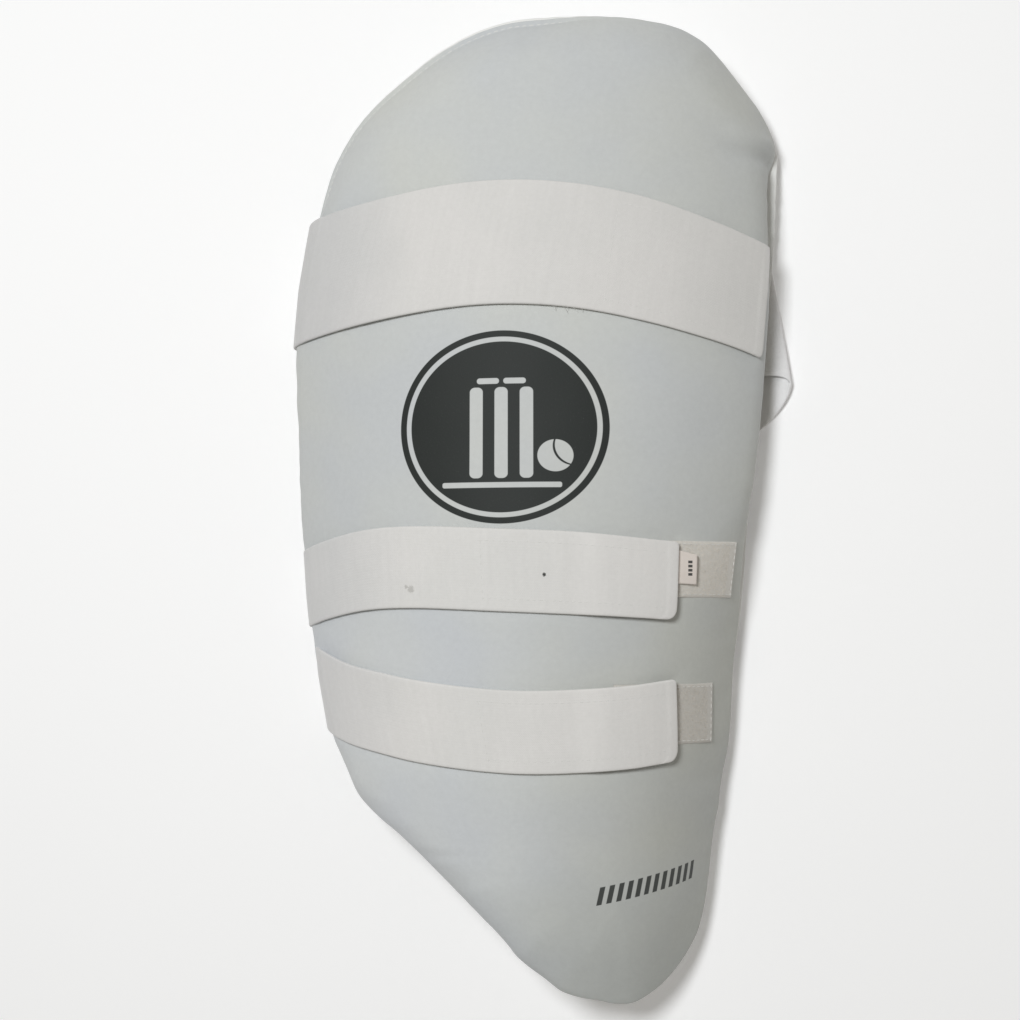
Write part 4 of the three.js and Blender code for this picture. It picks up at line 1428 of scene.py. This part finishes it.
# Small marks on the upper thigh strap: flat place and radius in metres, colour and strength.
SPOTS = [
    (0.0145, -0.0287, 0.00085, (46, 48, 44), 0.95),
    (-0.0355, -0.0345, 0.0016, (168, 166, 160), 0.55),
    (-0.0375, -0.0335, 0.0009, (160, 158, 152), 0.5),
]

# Heights of the front's and the root's stitches off a strap's outer face, how far from the edges the
# root's stitches run, and how far from the free end the front's ones start and stop, in metres.
SUNK = -0.00008
SUNK_ROOT = -0.0018
ROOT_SIDE, ROOT_END = 0.004, 0.002
HOOK_STOP, HOOK_START, HOOK_START_WAIST = 0.007, 0.082, 0.074


def build_straps(shell):
    """The three straps with their stitches, and the frayed threads of the waist strap."""
    sizes = bpy.context.scene.guard_stitches
    height = float(shell.top) + shell.b.front_gap + shell.b.thickness
    spots = [(shell.point(across, along, height), *rest) for across, along, *rest in SPOTS]
    for name in STRAPS:
        strap = Strap(shell, name)
        obj = strap.build()
        if name == "upper_thigh_strap":
            paint = strap_material("strap_webbing_marked", 1.0, spots)
        elif name == "waist_strap":
            paint = strap_material("strap_webbing_wide", 0.95)
        else:
            paint = strap_material("strap_webbing")
        dress(obj, name, paint)
        hook = HOOK_START_WAIST if strap.wide else HOOK_START
        low, high = sizes.strap_inset, strap.width - sizes.strap_inset
        lines = [strap.trace(offset, hook, HOOK_STOP, SUNK) for offset in (low, high)]
        lines.append(strap.trace_across(hook, low, high, SUNK))
        stitch_object("stitches_" + strap.short, lines, sizes, 0.85)
        if strap.wide:
            build_frays(strap)
        low, high = ROOT_SIDE, strap.width - ROOT_SIDE
        start, stop = strap.along[-1] - ROOT_END, strap.along[-1] - shell.b.root_length + ROOT_END
        box = [strap.trace(offset, start, stop, SUNK_ROOT) for offset in (low, high)]
        box += [strap.trace_across(distance, low, high, SUNK_ROOT) for distance in (start, stop)]
        stitch_object("stitches_root_" + strap.short, box, sizes, 0.9)


# Loose ends of thread at the waist strap's lower edge: distance from its free end, length and lean.
FRAYS = [
    (0.094, 0.0035, 0.3),
    (0.0925, 0.0022, -0.5),
    (0.0905, 0.0041, 0.6),
    (0.088, 0.0028, -0.2),
    (0.0865, 0.0033, 0.8),
    (0.0825, 0.0024, 0.1),
]
FRAY_SIDES, FRAY_STEPS = 5, 8


def build_frays(strap):
    """The loose ends of thread as thin bent rods, as one object."""
    points, faces = [], []
    for distance, reach, lean in FRAYS:
        root = strap.trace(0.0006, distance, distance - 0.0009, -0.0006)[0]
        k = np.linspace(0, 1, FRAY_STEPS + 1)[:, None]
        way = np.array([lean * reach, -reach * 0.8, 0.0])
        line = root + k * way + (k * (1 - k)) * np.array([0.0012, 0.0, 0.0])
        line[:, 2] -= 0.0004 * k[:, 0]
        start = len(points)
        for i, p in enumerate(line):
            thick = 0.00009 * (1 - 0.5 * i / FRAY_STEPS)
            for j in range(FRAY_SIDES):
                turn = 2 * math.pi * j / FRAY_SIDES
                points.append(p + np.array([math.cos(turn), 0.0, math.sin(turn)]) * thick)
        for i in range(FRAY_STEPS):
            ring = start + i * FRAY_SIDES
            for j in range(FRAY_SIDES):
                a, b = ring + j, ring + (j + 1) % FRAY_SIDES
                faces.append((a, a + FRAY_SIDES, b + FRAY_SIDES, b))
        last = start + FRAY_STEPS * FRAY_SIDES
        faces.append(tuple(start + j for j in range(FRAY_SIDES)))
        faces.append(tuple(last + j for j in reversed(range(FRAY_SIDES))))
    obj = make_object("frayed_threads", points, faces)
    dress(obj, None, thread_material())


def patch_grid(shell, box, above, rows, columns):
    """Flat places and heights of a grid that lies on the shell, rows across it and columns along it."""
    across = np.linspace(box["from"], box["to"], rows)[:, None] * shell.s.half_width
    y = np.linspace(box["low"], box["high"], columns)[None] * shell.s.length
    across, y = np.broadcast_arrays(across, y)
    return across, y, shell.outer(across, y) + above


def toned(colour, tone):
    """The colour darkened or lightened a little."""
    return tuple(min(c * tone, 250.0) for c in colour)


def to_ends(values):
    """Distance of each value from the nearer end of their range."""
    return np.minimum(values - values.min(), values.max() - values)


# Two colours, scale of the grain, strength and depth of the relief, for the ground and for the hairs.
PILE_CLOTHS = {
    "pile_backing": ((206, 203, 196), (214, 210, 203), 700.0, 0.5, 0.0003),
    "pile_hairs": ((214, 207, 195), (225, 218, 207), 900.0, 0.2, 0.0001),
}
PILE = {"Density": 2.4e6, "Height": 0.0005, "Thickness": 0.00014}
PATCH_ROWS, PATCH_COLUMNS = 90, 44
PATCH_STITCH_INSET = 0.0014


def build_patches(shell):
    """Each loop patch: its ground, its pile and its stitches."""
    sizes = bpy.context.scene.guard_stitches
    for name, box in PATCHES.items():
        tone = box["tone"]
        base, hairs = (
            plain_cloth(key, toned(low, tone), toned(high, tone), *rest)
            for key, (low, high, *rest) in PILE_CLOTHS.items()
        )
        short = name.split("_")[0]
        across, y, height = patch_grid(shell, box, shell.s.gap, PATCH_ROWS, PATCH_COLUMNS)
        flat = np.stack([across, y], -1)
        lower = shell.point(across, y, height)
        lift = 0.00012 * bumps(flat.reshape(-1, 2), 0.0016, 6.0).reshape(across.shape)
        edge = np.minimum(to_ends(across), to_ends(y))
        round_edge = np.sqrt(np.clip(1 - (1 - np.clip(edge / 0.0009, 0, 1)) ** 2, 0.05, 1))
        upper = shell.point(across, y, height + (shell.b.patch * 0.8 + lift) * round_edge)
        dress(band_object("patch_" + short, upper, lower, flat), name, base)
        rows = int((across[:, 0] < across.max() - box["bare"]).sum())
        faces = grid_faces(rows - 1, PATCH_COLUMNS - 2)
        top = make_object("pile_base", upper[1:rows, 1:-1].reshape(-1, 3), faces)
        mesh = top.data.copy()
        bpy.data.objects.remove(top)
        tree = bpy.data.node_groups.get("loop_pile") or pile_tree()
        pile = grown("pile_" + short, mesh, tree, {**PILE, "Seed": sizes.seed, "Material": hairs})
        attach(pile, "root")
        inset = PATCH_STITCH_INSET
        half, long = shell.s.half_width, shell.s.length
        a0, a1 = box["from"] * half + inset, box["to"] * half - inset
        y0, y1 = box["low"] * long + inset, box["high"] * long - inset
        corners = [(a0, y0), (a1, y0), (a1, y1), (a0, y1), (a0, y0)]
        lines = []
        for p, q in zip(corners, corners[1:]):
            k = np.linspace(0, 1, 40)
            a, b = mix(p[0], q[0], k), mix(p[1], q[1], k)
            lines.append(shell.point(a, b, shell.outer(a, b) + shell.s.gap + shell.b.patch * 0.86))
        stitch_object("stitches_patch_" + short, lines, sizes, 0.85)


LABEL_ROWS, LABEL_COLUMNS = 18, 24


def build_label(shell):
    """The label, whose free end stands off the patch."""
    above = shell.s.gap + shell.b.patch + shell.s.gap
    across, y, height = patch_grid(shell, LABEL, above, LABEL_ROWS, LABEL_COLUMNS)
    k = np.linspace(0, 1, LABEL_ROWS)[:, None]
    w = np.linspace(0, 1, LABEL_COLUMNS)[None]
    lift = 0.0011 * k**1.6 * (0.6 + 0.4 * w)
    y = y - 0.0016 * k * w - 0.0005 * k
    outer = shell.point(across, y, height + lift + shell.b.label)
    inner = shell.point(across, y, height + lift + 0.00012)
    flat = np.stack([across - across.min(), y - y.min()], -1)
    obj = band_object("label_tag", outer, inner, flat)
    dress(obj, "size_label", material("label_weave", label_material))


# The key light, aimed at the origin, the light from all around, and what the camera aims at. Its
# lens is given by a focal length in pixels of a square picture.
KEY_PLACE = (-0.19, 0.35, 1.4)
KEY_SIZE = 0.4
KEY_COLOUR = (0.962, 0.98, 1.0)
AMBIENT_COLOUR = (1.0, 0.96, 0.89, 1)
CAMERA_TARGET = (-0.0039, -0.0017, 0.0614)
SENSOR = 36.0
FOCAL_PIXELS, PICTURE_PIXELS = 1936.0, 1020.0


def build_key(power):
    """A round soft light over the hip end."""
    data = bpy.data.lights.new("key", "AREA")
    data.shape = "DISK"
    data.size = KEY_SIZE
    data.energy = power
    data.color = KEY_COLOUR
    obj = bpy.data.objects.new("key", data)
    obj.location = KEY_PLACE
    obj.rotation_euler = (-Vector(KEY_PLACE)).to_track_quat("-Z", "Y").to_euler()
    bpy.context.scene.collection.objects.link(obj)


def build_stage(look):
    """The floor, the light from all around, the key light and the camera."""
    floor = make_object("studio_floor", [(-3, -3, 0), (3, -3, 0), (3, 3, 0), (-3, 3, 0)], [(0, 1, 2, 3)])
    paint = Paint("studio_floor")
    grain = paint.noise(paint.place(), 3.0, 2.0)
    tone = paint.blend(grain, (0.95, 0.95, 0.95, 1), (0.97, 0.97, 0.97, 1))
    paint.feed(paint.shader.inputs["Base Color"], tone)
    paint.shader.inputs["Roughness"].default_value = 0.95
    paint.shader.inputs["Emission Strength"].default_value = look.glow
    floor.data.materials.append(paint.material)
    world = bpy.data.worlds.new("studio")
    bpy.context.scene.world = world
    world.use_nodes = True
    world.node_tree.nodes["Background"].inputs[0].default_value = AMBIENT_COLOUR
    world.node_tree.nodes["Background"].inputs[1].default_value = look.ambient
    build_key(look.key)
    bpy.context.scene.view_settings.view_transform = "Standard"
    turn, dip = look.turn, look.dip
    back = Vector((math.sin(turn) * math.cos(dip), -math.sin(dip), math.cos(turn) * math.cos(dip)))
    camera = bpy.data.cameras.new("camera")
    camera.sensor_width = SENSOR
    camera.lens = SENSOR * FOCAL_PIXELS / PICTURE_PIXELS
    obj = bpy.data.objects.new("camera", camera)
    z = back.normalized()
    x = Vector((0, 1, 0)).cross(z).normalized()
    y = z.cross(x)
    obj.location = Vector(CAMERA_TARGET) + back * look.distance
    from_axes = ((x[0], y[0], z[0]), (x[1], y[1], z[1]), (x[2], y[2], z[2]))
    obj.rotation_euler = Matrix(from_axes).to_euler()
    bpy.context.scene.collection.objects.link(obj)
    bpy.context.scene.camera = obj


class GUARD_OT_pad(bpy.types.Operator):
    """Build the padded cover with its stitched hem."""

    bl_idname = "thigh_guard.pad"
    bl_label = "Build pad"

    def execute(self, context):
        build_pad(Shell(context.scene))
        return {"FINISHED"}


class GUARD_OT_lining(bpy.types.Operator):
    """Build the lining of the hollow side."""

    bl_idname = "thigh_guard.lining"
    bl_label = "Build lining"

    def execute(self, context):
        build_lining(Shell(context.scene))
        return {"FINISHED"}


class GUARD_OT_straps(bpy.types.Operator):
    """Build the three straps with their stitches."""

    bl_idname = "thigh_guard.straps"
    bl_label = "Build straps"

    def execute(self, context):
        build_straps(Shell(context.scene))
        return {"FINISHED"}


class GUARD_OT_patches(bpy.types.Operator):
    """Build the loop patches and the label."""

    bl_idname = "thigh_guard.patches"
    bl_label = "Build patches and label"

    def execute(self, context):
        shell = Shell(context.scene)
        build_patches(shell)
        build_label(shell)
        return {"FINISHED"}


class GUARD_OT_stage(bpy.types.Operator):
    """Build the floor, the light and the camera."""

    bl_idname = "thigh_guard.stage"
    bl_label = "Build stage"

    def execute(self, context):
        build_stage(context.scene.guard_stage)
        return {"FINISHED"}


OPERATORS = (GUARD_OT_stage, GUARD_OT_pad, GUARD_OT_lining, GUARD_OT_straps, GUARD_OT_patches)


class GUARD_PT_panel(bpy.types.Panel):
    """Sizes and build buttons of the thigh guard."""

    bl_idname = "GUARD_PT_panel"
    bl_label = "Thigh Guard"
    bl_space_type = "VIEW_3D"
    bl_region_type = "UI"
    bl_category = "Thigh Guard"

    def draw(self, context):
        for group in GROUPS:
            box = self.layout.box()
            settings = getattr(context.scene, group)
            for key in settings.__annotations__:
                box.prop(settings, key)
        for operator in OPERATORS:
            self.layout.operator(operator.bl_idname)


GROUPS = {
    "guard_shell": ShellSizes,
    "guard_straps": StrapSizes,
    "guard_stitches": StitchSizes,
    "guard_stage": StageLook,
}


def register():
    for cls in (*GROUPS.values(), *OPERATORS, GUARD_PT_panel):
        bpy.utils.register_class(cls)
    for name, cls in GROUPS.items():
        setattr(bpy.types.Scene, name, bpy.props.PointerProperty(type=cls))


def unregister():
    for name in GROUPS:
        delattr(bpy.types.Scene, name)
    for cls in reversed((*GROUPS.values(), *OPERATORS, GUARD_PT_panel)):
        bpy.utils.unregister_class(cls)


def main():
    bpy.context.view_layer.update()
    register()
    bpy.ops.thigh_guard.stage()
    bpy.ops.thigh_guard.pad()
    bpy.ops.thigh_guard.lining()
    bpy.ops.thigh_guard.straps()
    bpy.ops.thigh_guard.patches()


if __name__ == "__main__":
    main()
